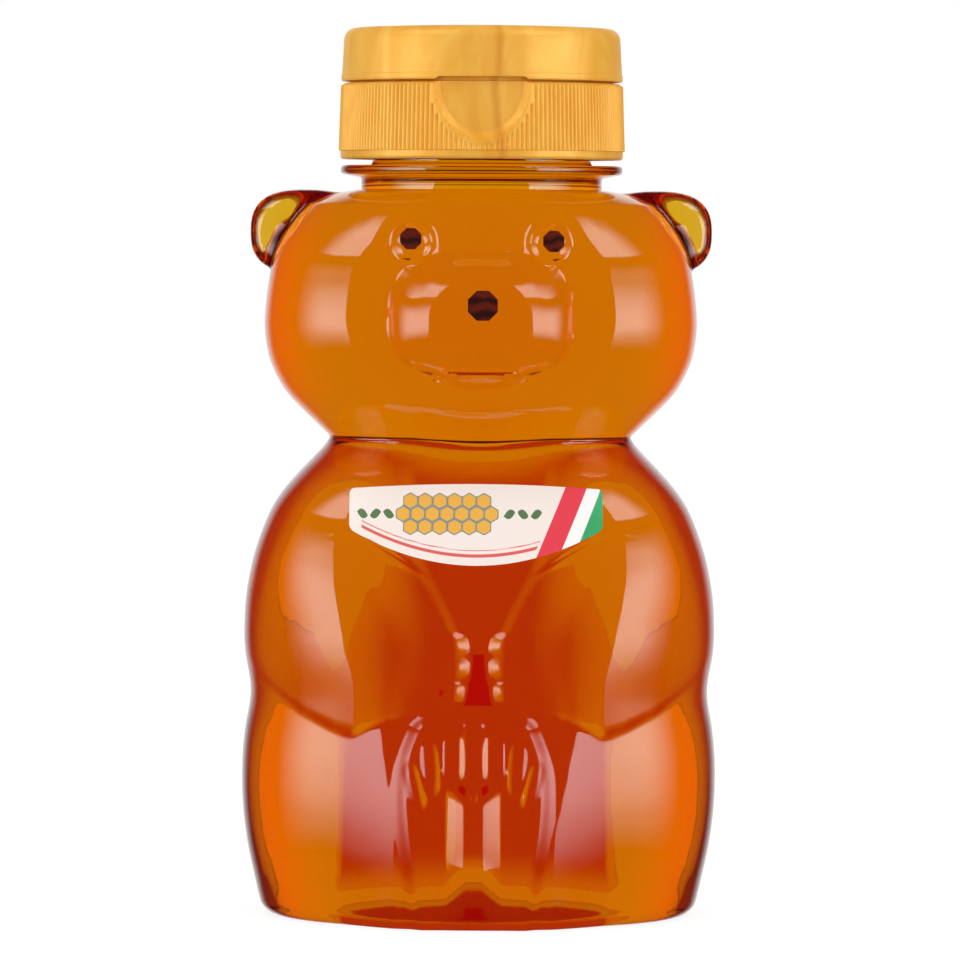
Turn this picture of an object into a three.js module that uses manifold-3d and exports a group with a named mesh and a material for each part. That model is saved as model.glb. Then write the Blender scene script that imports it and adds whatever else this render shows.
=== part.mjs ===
// A squeezable honey bottle in the shape of a sitting bear, with a flip-top screw closure.
// Millimetres, +Z up, the origin on the floor under the neck's axis. The bear faces -Y.
import * as THREE from "three";
import { mergeVertices } from "three/addons/utils/BufferGeometryUtils.js";
import Module from "manifold-3d";

const wasm = await Module();
wasm.setup();

// The bear's body: from the floor up to the pinch under the chin.
const bodyHeight = 76.3;
const bodyHalfWidth = 37.85;
const bodyFront = 29.3;
const bodyBack = 33.6;
const pinchHalfWidth = 24;
const pinchFront = 19.2;
const pinchBack = 20.8;
// The bear's head: from the pinch up to the edge of the shoulder, which rises on to the neck.
const headHeight = 37;
const headHalfWidth = 34.5;
const headFront = 26.8;
const headBack = 29.5;
const shoulderRise = 2.4;
// The blown wall, its foot and the hollow under it.
const wall = 0.8;
const footCorner = 2;
const standingBand = 5;
const pushUp = 3.4;
// The neck: plain under the ring, threaded above it.
const neckRadius = 19.2;
const neckHeight = 1.9;
const ringRadius = 22.5;
const ringTaper = 0.7;
const ringHeight = 1.9;
const finishRadius = 17.5;
const finishHeight = 10.7;
const boreRadius = 15.9;
// The thread that the neck and the closure share.
const threadPitch = 4.233;
const threadTurns = 1.5;
const capThreadTurns = 1;
const threadStandOut = 1.15;
const threadRoot = 2.4;
const threadCrest = 1.2;
const threadLead = 2.2;
const threadBury = 0.5;
const threadClearance = 0.4;
// Running gap between pieces that meet, and the overrun of every cut.
const gap = 0.3;
const overrun = 1;
// How far the honey stands under the rim, and the seal that is stuck on the rim.
const headspace = 8;
const sealThickness = 0.3;
const sealTabLength = 9;
const sealTabWidth = 12;
// The closure's threaded base: an outer skirt, a threaded skirt inside it, and a deck.
const capRadius = 22.7;
const capHeight = 12.1;
const capGap = 1;
const skirtWall = 1.25;
const threadWall = 1.35;
const deckThickness = 1.2;
const deckChamfer = 0.4;
// The scoop for the thumb at the closure's front.
const scoopHalfWidth = 7.9;
const scoopDepth = 1.7;
const scoopDrop = 9.5;
const scoopBacking = 1.1;
// The spout on the deck, with the slit valve and the ring that holds it.
const spoutRadius = 8;
const spoutWall = 1.4;
const spoutHeight = 4.6;
const ledgeThickness = 0.8;
const ledgeHole = 4.6;
const flangeThickness = 0.9;
const valveRadius = 4.2;
const valveSkin = 0.6;
const valveDish = 0.5;
const slitLength = 5;
const slitWidth = 0.3;
const retainerHeight = 1.3;
const retainerBore = 4.8;
// The lid over the deck, with the plug that presses on the valve.
const lidRadius = 22.3;
const lidHeight = 8.7;
const lidGap = 0.5;
const lidWall = 1.2;
const lidTop = 1.2;
const lidRounding = 1.8;
const lidDome = 0.4;
const lipNotchDepth = 1.1;
const lipNotchHeight = 0.5;
const plugRadius = 5.2;
const plugWall = 0.8;
const registerHeight = 0.9;
const registerWall = 1;
// The film that hinges the lid on the base, on a flat at the back.
const hingeHalfWidth = 5;
const hingeFlat = 21.9;
const hingeFilm = 0.35;
const hingeReach = 1.7;
// Labels, as thin pads on the bottle. Each drop is measured down from the pinch.
const labelThickness = 0.25;
const frontLabel = {
  aside: -0.5, halfWidth: 19.8, drop: 7.1, arch: 0.9, sideBottomDrop: 13.7, bottomDrop: 19.1,
};
const backLabelFoot = 5.5;
const backLabel = { aside: 0, halfWidth: 13.4, drop: 16.3, arch: 0 };
// The printed eyes and nose, and how far up from the pinch they are.
const dotThickness = 0.3;
const eyeDot = { radius: 1.75, aside: 11.1, up: 31.5 };
const noseDot = { radius: 2.45, aside: 0, up: 21.4 };

// Raised forms on the bear's front, as places across and up, half sizes and how far they stand out.
// The head's are measured up from the pinch, the feet up from the floor, the arms down from the pinch.
const muzzle = { aside: 0, up: 19.9, halfWidth: 14.4, halfHeight: 10.2, standOut: 7, edgePower: 5 };
const eyeDome = { aside: 10.9, up: 30.9, halfWidth: 3.8, halfHeight: 3.8, standOut: 0.9, edgePower: 2 };
const foot = { aside: 6.6, up: 10.5, halfWidth: 6, halfHeight: 20.5, standOut: 4.4, edgePower: 4 };
const arm = {
  inner: 0.8, outer: 40, bottomDrop: 45.8, innerDrop: 26.3, outerDrop: 10.3, standOut: 4, edgePower: 3,
};
// The ears: lobes blown out of the sides of the head, measured up from the pinch.
const ear = { aside: 29.5, up: 32.6, halfWidth: 7.4, halfHeight: 6.7, halfDepth: 4.6, back: 1 };

// Outlines seen from the front: share of the height, then share of the way from the pinch to the
// widest place.
const bodyOutlineShares = [
  [0, 0.737], [0.028, 0.79], [0.07, 0.845], [0.153, 0.942], [0.237, 0.995], [0.321, 1],
  [0.384, 0.971], [0.468, 0.906], [0.552, 0.972], [0.605, 0.982], [0.678, 0.953], [0.761, 0.856],
  [0.845, 0.682], [0.887, 0.538], [0.929, 0.339], [0.958, 0.184], [0.983, 0.058], [1, 0],
];
// The body's back has no waist between the arms and the legs.
const backOutlineShares = [
  [0, 0.737], [0.07, 0.85], [0.15, 0.94], [0.26, 0.99], [0.42, 1], [0.6, 0.985], [0.72, 0.91],
  [0.82, 0.74], [0.9, 0.48], [0.96, 0.18], [1, 0],
];
const headOutlineShares = [
  [0, 0], [0.07, 0.257], [0.122, 0.448], [0.173, 0.619], [0.224, 0.748], [0.303, 0.886],
  [0.381, 0.962], [0.484, 1], [0.589, 0.976], [0.676, 0.935], [0.784, 0.857], [0.87, 0.714],
  [0.95, 0.505], [1, 0.333],
];
// How square a level section is: 1 is an ellipse, less is squarer.
const bodyRoundnessShare = 0.84;
const headRoundnessShare = 0.9;

// Counts of facets.
const frontColumns = 36;
const backColumns = 18;
const cornerRows = 2;
const bodyRows = 22;
const headRows = 16;
const shoulderRows = 3;
const innerColumns = 16;
const turnedSides = 48;
const smallSides = 32;
const dotSides = 8;
const labelColumns = 16;
const frontLabelRows = 6;
const backLabelRows = 18;

// Heights that follow.
const headTop = bodyHeight + headHeight;
const neckFoot = headTop + shoulderRise;
const ringFoot = neckFoot + neckHeight;
const ringTop = ringFoot + ringHeight;
const rim = ringTop + finishHeight;
const capFoot = ringTop + capGap;
const capTop = capFoot + capHeight;
const lidFoot = capTop + lidGap;
const lidCrown = lidFoot + lidHeight;

// A smooth curve through the points, read at one place: cubic pieces that share their slopes.
function through(points, at) {
  let i = 0;
  while (i < points.length - 2 && at > points[i + 1][0]) i++;
  const slope = (k) => {
    const a = points[Math.max(k - 1, 0)];
    const b = points[Math.min(k + 1, points.length - 1)];
    return (b[1] - a[1]) / (b[0] - a[0]);
  };
  const [x0, y0] = points[i];
  const [x1, y1] = points[i + 1];
  const width = x1 - x0;
  const t = THREE.MathUtils.clamp((at - x0) / width, 0, 1);
  const rise = t * t * (3 - 2 * t);
  const leave = t * (1 - t) * (1 - t) * slope(i) * width;
  const arrive = t * t * (t - 1) * slope(i + 1) * width;
  return y0 + (y1 - y0) * rise + leave + arrive;
}

// The level section at a height: half width, depth to the front, depth to the back, roundness.
function section(z) {
  const inHead = z > bodyHeight;
  const share = inHead
    ? through(headOutlineShares, (z - bodyHeight) / headHeight)
    : through(bodyOutlineShares, z / bodyHeight);
  const backShare = inHead ? share : through(backOutlineShares, z / bodyHeight);
  const from = (pinch, head, body, way) => pinch + ((inHead ? head : body) - pinch) * way;
  return {
    halfWidth: from(pinchHalfWidth, headHalfWidth, bodyHalfWidth, share),
    front: from(pinchFront, headFront, bodyFront, share),
    back: from(pinchBack, headBack, bodyBack, backShare),
    roundness: from(headRoundnessShare, headRoundnessShare, bodyRoundnessShare, share),
  };
}

// A rounded mound that falls to nothing at distance 1 from its middle; its edge power squares it.
function mound(distance, form) {
  return form.standOut * (1 - Math.min(distance, 1) ** form.edgePower);
}

// How far a pair of rounded forms, one each side of the middle, stands out at a place.
function pairOf(form, base, x, z) {
  const across = (Math.abs(x) - form.aside) / form.halfWidth;
  const up = (z - base - form.up) / form.halfHeight;
  return mound(Math.cbrt(Math.abs(across) ** 3 + Math.abs(up) ** 3), form);
}

// The forearms: between a level lower edge and an upper edge that falls towards the paws.
function armStandOut(x, z) {
  const share = (Math.abs(x) - arm.inner) / (arm.outer - arm.inner);
  const top = bodyHeight - THREE.MathUtils.lerp(arm.innerDrop, arm.outerDrop, share);
  const low = bodyHeight - arm.bottomDrop;
  const up = (2 * z - top - low) / (top - low);
  return mound(Math.cbrt(Math.abs(2 * share - 1) ** 3 + Math.abs(up) ** 3), arm);
}

// How far the bear's front stands out of its plain section.
function frontRelief(x, z) {
  return Math.max(
    pairOf(muzzle, bodyHeight, x, z),
    pairOf(eyeDome, bodyHeight, x, z),
    pairOf(foot, 0, x, z),
    armStandOut(x, z),
  );
}

// The bottle's surface on a level section: the section, then what stands out of it.
function pointOn(level, angle, z, inset, plain) {
  const c = Math.cos(angle);
  const s = Math.sin(angle);
  const x = Math.sign(c) * (level.halfWidth - inset) * Math.abs(c) ** level.roundness;
  const depth = (s < 0 ? level.front : level.back) - inset;
  const y = Math.sign(s) * depth * Math.abs(s) ** level.roundness;
  if (plain) return new THREE.Vector3(x, y, z);
  const forward = s < 0 ? frontRelief(x, z) : 0;
  return new THREE.Vector3(x, y - forward, z);
}

// How deep a level section is at a place across, as a share of its depth in the middle.
function depthShare(level, x) {
  return (1 - (Math.abs(x) / level.halfWidth) ** (2 / level.roundness)) ** (level.roundness / 2);
}

// How deep the front or the back of the bear lies at a place across and up.
function frontAt(x, z) {
  const level = section(z);
  return -level.front * depthShare(level, x) - frontRelief(x, z);
}

function backAt(x, z) {
  const level = section(z);
  return level.back * depthShare(level, x);
}

// Angles round a section, closer together across the front.
function columnAngles(front, back) {
  const angles = [];
  for (let i = 0; i < front; i++) angles.push(-Math.PI + (Math.PI * i) / front);
  for (let i = 0; i < back; i++) angles.push((Math.PI * i) / back);
  return angles;
}

// A level ring of the bear at a height, drawn in by an inset.
function bearRing(angles, z, inset, plain) {
  const level = section(Math.min(z, headTop));
  return angles.map((angle) => pointOn(level, angle, z, inset, plain));
}

// A level ring part of the way up the shoulder, from the head's top edge to the round neck.
function shoulderRing(angles, share, inset, radius, plain) {
  const turn = (share * Math.PI) / 2;
  const z = headTop + (shoulderRise - inset) * Math.sin(turn);
  const level = section(headTop);
  return angles.map((angle) => {
    const edge = pointOn(level, angle, z, inset, plain);
    const neck = new THREE.Vector3(radius * Math.cos(angle), radius * Math.sin(angle), z);
    return edge.lerp(neck, 1 - Math.cos(turn));
  });
}

function roundRing(angles, radius, z) {
  return angles.map((a) => new THREE.Vector3(radius * Math.cos(a), radius * Math.sin(a), z));
}

// A closed body from rings of equal count, stacked along their own turning direction.
function stacked(rings) {
  const count = rings[0].length;
  const points = rings.flat();
  const middle = (ring) => ring.reduce((sum, p) => sum.add(p), new THREE.Vector3()).divideScalar(count);
  const first = points.push(middle(rings[0])) - 1;
  const last = points.push(middle(rings.at(-1))) - 1;
  const faces = [];
  for (let j = 0; j < count; j++) {
    const k = (j + 1) % count;
    faces.push(first, k, j);
    for (let i = 0; i < rings.length - 1; i++) {
      const a = i * count;
      const b = a + count;
      faces.push(a + j, a + k, b + k, a + j, b + k, b + j);
    }
    const top = (rings.length - 1) * count;
    faces.push(last, top + j, top + k);
  }
  const geometry = new THREE.BufferGeometry().setFromPoints(points);
  geometry.setIndex(faces);
  return geometry;
}

// A solid that manifold-3d can cut and join, from a closed geometry.
function solid(geometry) {
  for (const name of ["normal", "uv"]) geometry.deleteAttribute(name);
  const merged = mergeVertices(geometry);
  const made = new wasm.Mesh({
    numProp: 3,
    vertProperties: merged.attributes.position.array,
    triVerts: new Uint32Array(merged.index.array),
  });
  return new wasm.Manifold(made);
}

// A turned solid: its profile is points of radius and height, from the axis or round a loop.
function turned(profile, sides) {
  const points = profile.map(([radius, height]) => new THREE.Vector2(radius, height));
  return solid(new THREE.LatheGeometry(points, sides).rotateX(Math.PI / 2));
}

function block(halfWidth, front, back, low, high) {
  const box = new THREE.BoxGeometry(2 * halfWidth, back - front, high - low);
  return solid(box.translate(0, (front + back) / 2, (low + high) / 2));
}

// A helical thread with a trapezoid section between a root and a crest radius, a right-hand one.
function thread(root, crest, start, turns) {
  const steps = Math.round(turns * smallSides);
  const rings = [];
  for (let i = 0; i <= steps; i++) {
    const angle = (2 * Math.PI * i) / smallSides;
    const z = start + (threadPitch * i) / smallSides;
    const corner = (radius, up) =>
      new THREE.Vector3(radius * Math.cos(angle), radius * Math.sin(angle), z + up);
    rings.push([
      corner(root, threadRoot / 2),
      corner(crest, threadCrest / 2),
      corner(crest, -threadCrest / 2),
      corner(root, -threadRoot / 2),
    ]);
  }
  return rings;
}

// The blown bottle: foot, body, head, shoulder, neck with its ring and thread, and its bore.
function bottle() {
  const angles = columnAngles(frontColumns, backColumns);
  const rows = (low, high, count) =>
    Array.from({ length: count }, (_, i) => low + ((high - low) * i) / count);
  const rings = [bearRing(angles, 0, footCorner + standingBand, true)];
  for (let i = 0; i < cornerRows; i++) {
    const turn = ((i / cornerRows) * Math.PI) / 2;
    const inset = footCorner * (1 - Math.sin(turn));
    rings.push(bearRing(angles, footCorner * (1 - Math.cos(turn)), inset, false));
  }
  for (const z of rows(footCorner, bodyHeight, bodyRows)) rings.push(bearRing(angles, z, 0, false));
  for (const z of rows(bodyHeight, headTop, headRows)) rings.push(bearRing(angles, z, 0, false));
  for (let i = 0; i <= shoulderRows; i++)
    rings.push(shoulderRing(angles, i / shoulderRows, 0, neckRadius, false));
  rings.push(
    roundRing(angles, neckRadius, ringFoot),
    roundRing(angles, ringRadius, ringFoot + ringTaper),
    roundRing(angles, ringRadius, ringTop),
    roundRing(angles, finishRadius, ringTop),
    roundRing(angles, finishRadius, rim),
  );
  const threadFoot = rim - threadLead - threadPitch * threadTurns;
  const ridge = thread(finishRadius - threadBury, finishRadius + threadStandOut, threadFoot, threadTurns);
  return solid(stacked(rings))
    .add(earLobe(-1))
    .add(earLobe(1))
    .add(solid(stacked(ridge)))
    .subtract(hollow())
    .subtract(footHollow());
}

// One ear: a flattened ball whose inner half lies in the side of the head.
function earLobe(side) {
  const lobe = new THREE.SphereGeometry(1, smallSides / 2, smallSides / 2);
  lobe.rotateX(Math.PI / 2).scale(ear.halfWidth, ear.halfDepth, ear.halfHeight);
  return solid(lobe.translate(side * ear.aside, ear.back, bodyHeight + ear.up));
}

// The shallow dome that is blown up under the foot.
function footHollow() {
  const inset = footCorner + standingBand;
  const edge = (share) =>
    bearRing(insideAngles(), 0, inset, true).map((p) => p.multiplyScalar(share));
  const rings = [edge(1).map((p) => p.setZ(-overrun))];
  for (let i = 0; i < shoulderRows; i++) {
    const turn = ((i / shoulderRows) * Math.PI) / 2;
    rings.push(edge(Math.cos(turn)).map((p) => p.setZ(pushUp * Math.sin(turn))));
  }
  return solid(stacked(rings));
}

// The bottle's inside, from its floor up through the bore and out of the rim.
function hollow() {
  const mouth = roundRing(insideAngles(), boreRadius, rim + overrun);
  return solid(stacked([...insideRings(wall, boreRadius), mouth]));
}

function insideAngles() {
  return columnAngles(innerColumns, innerColumns);
}

// Rings of the space inside the bear, set in from its plain section, up to the foot of the bore.
function insideRings(inset, radius) {
  const angles = insideAngles();
  const floor = pushUp + inset;
  const rings = [bearRing(angles, floor, inset + footCorner, true)];
  for (let i = 1; i <= bodyRows / 2; i++)
    rings.push(bearRing(angles, floor + ((bodyHeight - floor) * 2 * i) / bodyRows, inset, true));
  for (let i = 1; i < headRows / 2; i++)
    rings.push(bearRing(angles, bodyHeight + (headHeight * 2 * i) / headRows, inset, true));
  for (let i = 0; i <= 2; i++)
    rings.push(shoulderRing(angles, i / 2, inset, radius, true));
  return rings;
}

function honey() {
  const inset = wall + gap;
  const radius = boreRadius - gap;
  const top = roundRing(insideAngles(), radius, rim - headspace);
  return solid(stacked([...insideRings(inset, radius), top]));
}

// A sheet laid on a surface: a grid of places across and up, given a depth, and made thick outwards.
// Its bottom edge is a height for each share of the way from its middle to its side.
function sheet(label, bottomAt, rows, depthAt, outward) {
  const points = [];
  for (const lift of [gap, gap + labelThickness])
    for (let i = 0; i <= labelColumns; i++)
      for (let j = 0; j <= rows; j++) {
        const share = (2 * i) / labelColumns - 1;
        const across = label.aside + label.halfWidth * share;
        const top = bodyHeight - label.drop - label.arch * share * share;
        const up = THREE.MathUtils.lerp(bottomAt(share), top, j / rows);
        points.push(new THREE.Vector3(across, depthAt(across, up) + outward * lift, up));
      }
  const layer = (labelColumns + 1) * (rows + 1);
  const faces = [];
  const quad = (a, b, c, d) => faces.push(...(outward < 0 ? [a, b, c, a, c, d] : [a, c, b, a, d, c]));
  for (let i = 0; i < labelColumns; i++)
    for (let j = 0; j < rows; j++) {
      const a = i * (rows + 1) + j;
      const b = a + rows + 1;
      quad(a, a + 1, b + 1, b);
      quad(layer + a, layer + b, layer + b + 1, layer + a + 1);
    }
  const edge = (a, b) => quad(a, b, layer + b, layer + a);
  const last = labelColumns * (rows + 1);
  for (let i = 0; i < labelColumns; i++) {
    edge(i * (rows + 1), (i + 1) * (rows + 1));
    edge((i + 1) * (rows + 1) + rows, i * (rows + 1) + rows);
  }
  for (let j = 0; j < rows; j++) {
    edge(j + 1, j);
    edge(last + j, last + j + 1);
  }
  const geometry = new THREE.BufferGeometry().setFromPoints(points);
  geometry.setIndex(faces);
  return geometry;
}

// The front label's bottom edge is an arc, and the back label's is level.
function frontLabelSheet() {
  const bottomAt = (share) =>
    bodyHeight - THREE.MathUtils.lerp(frontLabel.bottomDrop, frontLabel.sideBottomDrop, share * share);
  return sheet(frontLabel, bottomAt, frontLabelRows, frontAt, -1);
}

function backLabelSheet() {
  return sheet(backLabel, () => backLabelFoot, backLabelRows, backAt, 1);
}

// An eight-sided printed dot that stands a gap off the bottle and faces along its surface.
function dot(place, side) {
  const x = side * place.aside;
  const z = bodyHeight + place.up;
  const on = new THREE.Vector3(x, frontAt(x, z), z);
  const step = place.radius / 2;
  const across = new THREE.Vector3(2 * step, frontAt(x + step, z) - frontAt(x - step, z), 0);
  const upward = new THREE.Vector3(0, frontAt(x, z + step) - frontAt(x, z - step), 2 * step);
  const normal = across.cross(upward).normalize();
  const disc = new THREE.CylinderGeometry(place.radius, place.radius, dotThickness, dotSides);
  disc.rotateY(Math.PI / dotSides);
  disc.applyQuaternion(new THREE.Quaternion().setFromUnitVectors(new THREE.Vector3(0, 1, 0), normal));
  const centre = on.addScaledVector(normal, gap + dotThickness / 2);
  return disc.translate(centre.x, centre.y, centre.z);
}

// The seal over the rim, a disc with a tab to lift it by.
function foilSeal() {
  const foot = rim + gap;
  const disc = turned(
    [[0, foot], [finishRadius, foot], [finishRadius, foot + sealThickness], [0, foot + sealThickness]],
    turnedSides,
  );
  const halfTab = sealTabWidth / 2;
  const tab = block(halfTab, -sealTabLength, 0, foot + sealThickness / 2, foot + 2 * sealThickness);
  return disc.add(tab);
}

// The closure's base: two skirts under a deck, a spout, a scoop at the front and a hinge flat.
function capBase() {
  const inner = finishRadius + threadStandOut + threadClearance;
  const deck = capTop - deckThickness;
  const seatFoot = capTop + deckChamfer;
  const seat = seatFoot + ledgeThickness;
  const register = lidRadius - lidWall - gap;
  const shell = turned(
    [
      [inner, capFoot], [capRadius, capFoot], [capRadius, capTop - deckChamfer],
      [capRadius - deckChamfer, capTop], [register, capTop], [register, capTop + registerHeight],
      [register - registerWall, capTop + registerHeight], [register - registerWall, capTop],
      [spoutRadius, capTop], [spoutRadius, capTop + spoutHeight],
      [spoutRadius - spoutWall, capTop + spoutHeight], [spoutRadius - spoutWall, seat],
      [ledgeHole, seat], [ledgeHole, deck], [inner, deck], [inner, capFoot],
    ],
    turnedSides,
  );
  const slotInner = inner + threadWall;
  const slotOuter = capRadius - skirtWall;
  const slotTop = deck - skirtWall;
  const slot = turned(
    [
      [slotInner, capFoot - overrun], [slotOuter, capFoot - overrun],
      [slotOuter, slotTop], [slotInner, slotTop], [slotInner, capFoot - overrun],
    ],
    turnedSides,
  );
  const backingFoot = capTop - scoopDrop - scoopBacking;
  const backing = block(scoopHalfWidth + scoopBacking, -capRadius - overrun, 0, backingFoot, capTop);
  const crest = finishRadius + threadClearance;
  const start = rim - threadLead - threadPitch * (threadTurns - 1 / 2);
  const ridge = thread(inner + threadBury, crest, start, capThreadTurns).map((ring) => ring.reverse());
  return shell
    .subtract(slot.subtract(backing))
    .add(solid(stacked(ridge)))
    .subtract(scoop())
    .subtract(hingePocket());
}

// The dished cut for the thumb: a bowl on its side, open at the split line.
function scoop() {
  const bowl = new THREE.SphereGeometry(1, smallSides, smallSides / 2);
  bowl.scale(scoopHalfWidth, 2 * scoopDepth, scoopDrop);
  const front = -Math.sqrt(capRadius ** 2 - scoopHalfWidth ** 2);
  return solid(bowl.translate(0, front - scoopDepth, capTop));
}

// The flat that the hinge film lies on, cut out of the backs of the base and of the lid.
function hingePocket() {
  const low = capTop - hingeReach - gap;
  const high = lidFoot + hingeReach + gap;
  return block(hingeHalfWidth + gap, hingeFlat, capRadius + overrun, low, high);
}

function hingeFilmStrip() {
  const front = hingeFlat + gap;
  return block(hingeHalfWidth, front, front + hingeFilm, capTop - hingeReach, lidFoot + hingeReach);
}

// The valve: a dished skin with a cross slit, inside a flange that sits on the spout's ledge.
function valve() {
  const foot = capTop + deckChamfer + ledgeThickness + gap;
  const flange = spoutRadius - spoutWall - gap;
  const top = foot + flangeThickness;
  const skin = turned(
    [
      [0, top - valveDish - valveSkin], [valveRadius, foot], [flange, foot],
      [flange, top], [valveRadius, top], [0, top - valveDish],
    ],
    smallSides,
  );
  const slit = (length, width) =>
    block(length / 2, -width / 2, width / 2, foot - overrun - valveSkin, top + overrun);
  return skin.subtract(slit(slitLength, slitWidth)).subtract(slit(slitWidth, slitLength));
}

function valveRetainer() {
  const foot = capTop + deckChamfer + ledgeThickness + flangeThickness + 2 * gap;
  const outer = spoutRadius - spoutWall - gap;
  const top = foot + retainerHeight;
  return turned(
    [[retainerBore, foot], [outer, foot], [outer, top], [retainerBore, top], [retainerBore, foot]],
    smallSides,
  );
}

// The lid: a shallow cup with a rounded, slightly domed top and a plug ring inside it.
function lid() {
  const inner = lidRadius - lidWall;
  const ceiling = lidCrown - lidTop;
  const shoulder = lidCrown - lidDome;
  const plugFoot = capTop + spoutHeight + gap;
  const corner = [1, 2].map((i) => {
    const turn = (i * Math.PI) / 6;
    return [
      lidRadius - lidRounding * (1 - Math.cos(turn)),
      shoulder - lidRounding * (1 - Math.sin(turn)),
    ];
  });
  const cup = turned(
    [
      [inner, lidFoot], [lidRadius, lidFoot], [lidRadius, shoulder - lidRounding], ...corner,
      [lidRadius - lidRounding, shoulder], [0, lidCrown], [0, ceiling],
      [plugRadius - plugWall, ceiling], [plugRadius - plugWall, plugFoot],
      [plugRadius, plugFoot], [plugRadius, ceiling], [inner, ceiling], [inner, lidFoot],
    ],
    turnedSides,
  );
  const front = -lidRadius - overrun;
  const top = lidFoot + lipNotchHeight;
  const notch = block(scoopHalfWidth, front, lipNotchDepth - lidRadius, lidFoot - overrun, top);
  return cup.subtract(notch).subtract(hingePocket());
}

// A mesh for one piece, from a solid or from a plain geometry.
function piece(name, shape, colour, roughness, opacity = 1) {
  let geometry = shape;
  if (!shape.isBufferGeometry) {
    const mesh = shape.getMesh();
    geometry = new THREE.BufferGeometry();
    geometry.setAttribute("position", new THREE.BufferAttribute(mesh.vertProperties, 3));
    geometry.setIndex(new THREE.BufferAttribute(mesh.triVerts, 1));
  }
  geometry.computeVertexNormals();
  const material = new THREE.MeshStandardMaterial({
    color: colour, roughness, metalness: 0, opacity, transparent: opacity < 1,
  });
  const mesh = new THREE.Mesh(geometry, material);
  mesh.name = name;
  return mesh;
}

const bear = new THREE.Group();
bear.add(
  piece("bear_bottle", bottle(), 0xf2c079, 0.08, 0.35),
  piece("honey", honey(), 0xb83a00, 0.1, 0.85),
  piece("foil_seal", foilSeal(), 0xd8d9da, 0.35),
  piece("cap_base", capBase(), 0xe6a93c, 0.35),
  piece("flip_lid", lid(), 0xe9ac3f, 0.35),
  piece("hinge_film", hingeFilmStrip(), 0xe6a93c, 0.4),
  piece("slit_valve", valve(), 0xf1f1ee, 0.5),
  piece("valve_retainer", valveRetainer(), 0xf4f4f2, 0.4),
  piece("front_label", frontLabelSheet(), 0xf9ebe2, 0.6),
  piece("back_label", backLabelSheet(), 0xf5e6da, 0.6),
  piece("eye_left", dot(eyeDot, -1), 0x3a1d12, 0.5),
  piece("eye_right", dot(eyeDot, 1), 0x3a1d12, 0.5),
  piece("nose", dot(noseDot, 1), 0x3a1512, 0.5),
);

export default bear;
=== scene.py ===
"""A honey bottle in the shape of a sitting bear, with a flip-top screw closure.

Lengths are millimetres in every section and become metres when a mesh is made. +Z is up and the
bear faces -Y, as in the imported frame. The sections follow the bottle as it is filled and closed.
"""
import math

import bpy
import numpy as np
from mathutils import Euler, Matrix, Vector


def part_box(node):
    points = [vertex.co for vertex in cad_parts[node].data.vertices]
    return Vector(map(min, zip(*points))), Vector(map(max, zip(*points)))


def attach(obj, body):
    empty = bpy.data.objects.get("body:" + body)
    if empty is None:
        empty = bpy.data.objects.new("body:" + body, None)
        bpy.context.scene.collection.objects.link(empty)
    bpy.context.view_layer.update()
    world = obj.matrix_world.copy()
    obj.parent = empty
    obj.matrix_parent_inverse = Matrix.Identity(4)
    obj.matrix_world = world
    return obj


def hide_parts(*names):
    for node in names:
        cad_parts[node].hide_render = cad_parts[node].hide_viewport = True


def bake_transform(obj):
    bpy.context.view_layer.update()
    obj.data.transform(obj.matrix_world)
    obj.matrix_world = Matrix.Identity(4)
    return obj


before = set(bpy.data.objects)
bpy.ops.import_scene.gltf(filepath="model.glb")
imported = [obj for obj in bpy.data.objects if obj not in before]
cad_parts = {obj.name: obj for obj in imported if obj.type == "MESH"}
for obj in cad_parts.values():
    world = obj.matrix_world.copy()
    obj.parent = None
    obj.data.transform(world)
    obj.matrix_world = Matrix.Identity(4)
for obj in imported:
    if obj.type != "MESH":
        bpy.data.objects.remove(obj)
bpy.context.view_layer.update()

# Camera: a long lens a metre in front of the bear, a little above its eyes, as the photograph
# was taken. It leans by a third of a degree, because the bottle in the photograph does.
MM = 0.001
scene = bpy.context.scene
camera = bpy.data.objects.new("camera", bpy.data.cameras.new("camera"))
scene.collection.objects.link(camera)
scene.camera = camera
camera_at = Vector((0.0, -1040.0, 110.9)) * MM
camera_aim = Vector((0.0, 0.0, 69.3)) * MM
camera_lean = math.radians(0.3)
camera.data.sensor_width = 36.0
camera.data.lens = 243.9
camera.data.clip_start, camera.data.clip_end = 0.01, 50.0
camera.location = camera_at
look = (camera_aim - camera_at).to_track_quat("-Z", "Y").to_euler()
camera.rotation_euler = (look.to_matrix() @ Euler((0, 0, camera_lean)).to_matrix()).to_euler()

# Bear bottle: one moulding of clear PET, blown into a mould from a threaded preform. Its wall is
# thin and glossy, and its surface swims a little where the plastic stretched.
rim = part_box("bear_bottle")[1].z / MM
body_height = 76.3
head_height = 37.0
head_top = body_height + head_height
shoulder_rise = 2.4
wall = 0.8
foot_corner = 2.0
standing_band = 5.0
push_up = 3.4
neck_radius = 19.2
bore_radius = 15.9
honey_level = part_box("honey")[1].z / MM
# Half width, depth to the front and depth to the back, at the pinch, body and head.
pinch_size = (24.0, 19.2, 20.8)
body_size = (37.85, 29.3, 33.6)
head_size = (34.5, 26.8, 29.5)
# Heights and how round the section is there: 1 is an oval, less is squarer.
roundness_line = [
    (0, 0.9), (20, 0.88), (45, 0.84), (57, 0.69), (66, 0.64), (72, 0.72), (76.3, 0.84), (84, 0.84),
    (95, 0.75), (104, 0.77), (113.3, 0.86),
]
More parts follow.
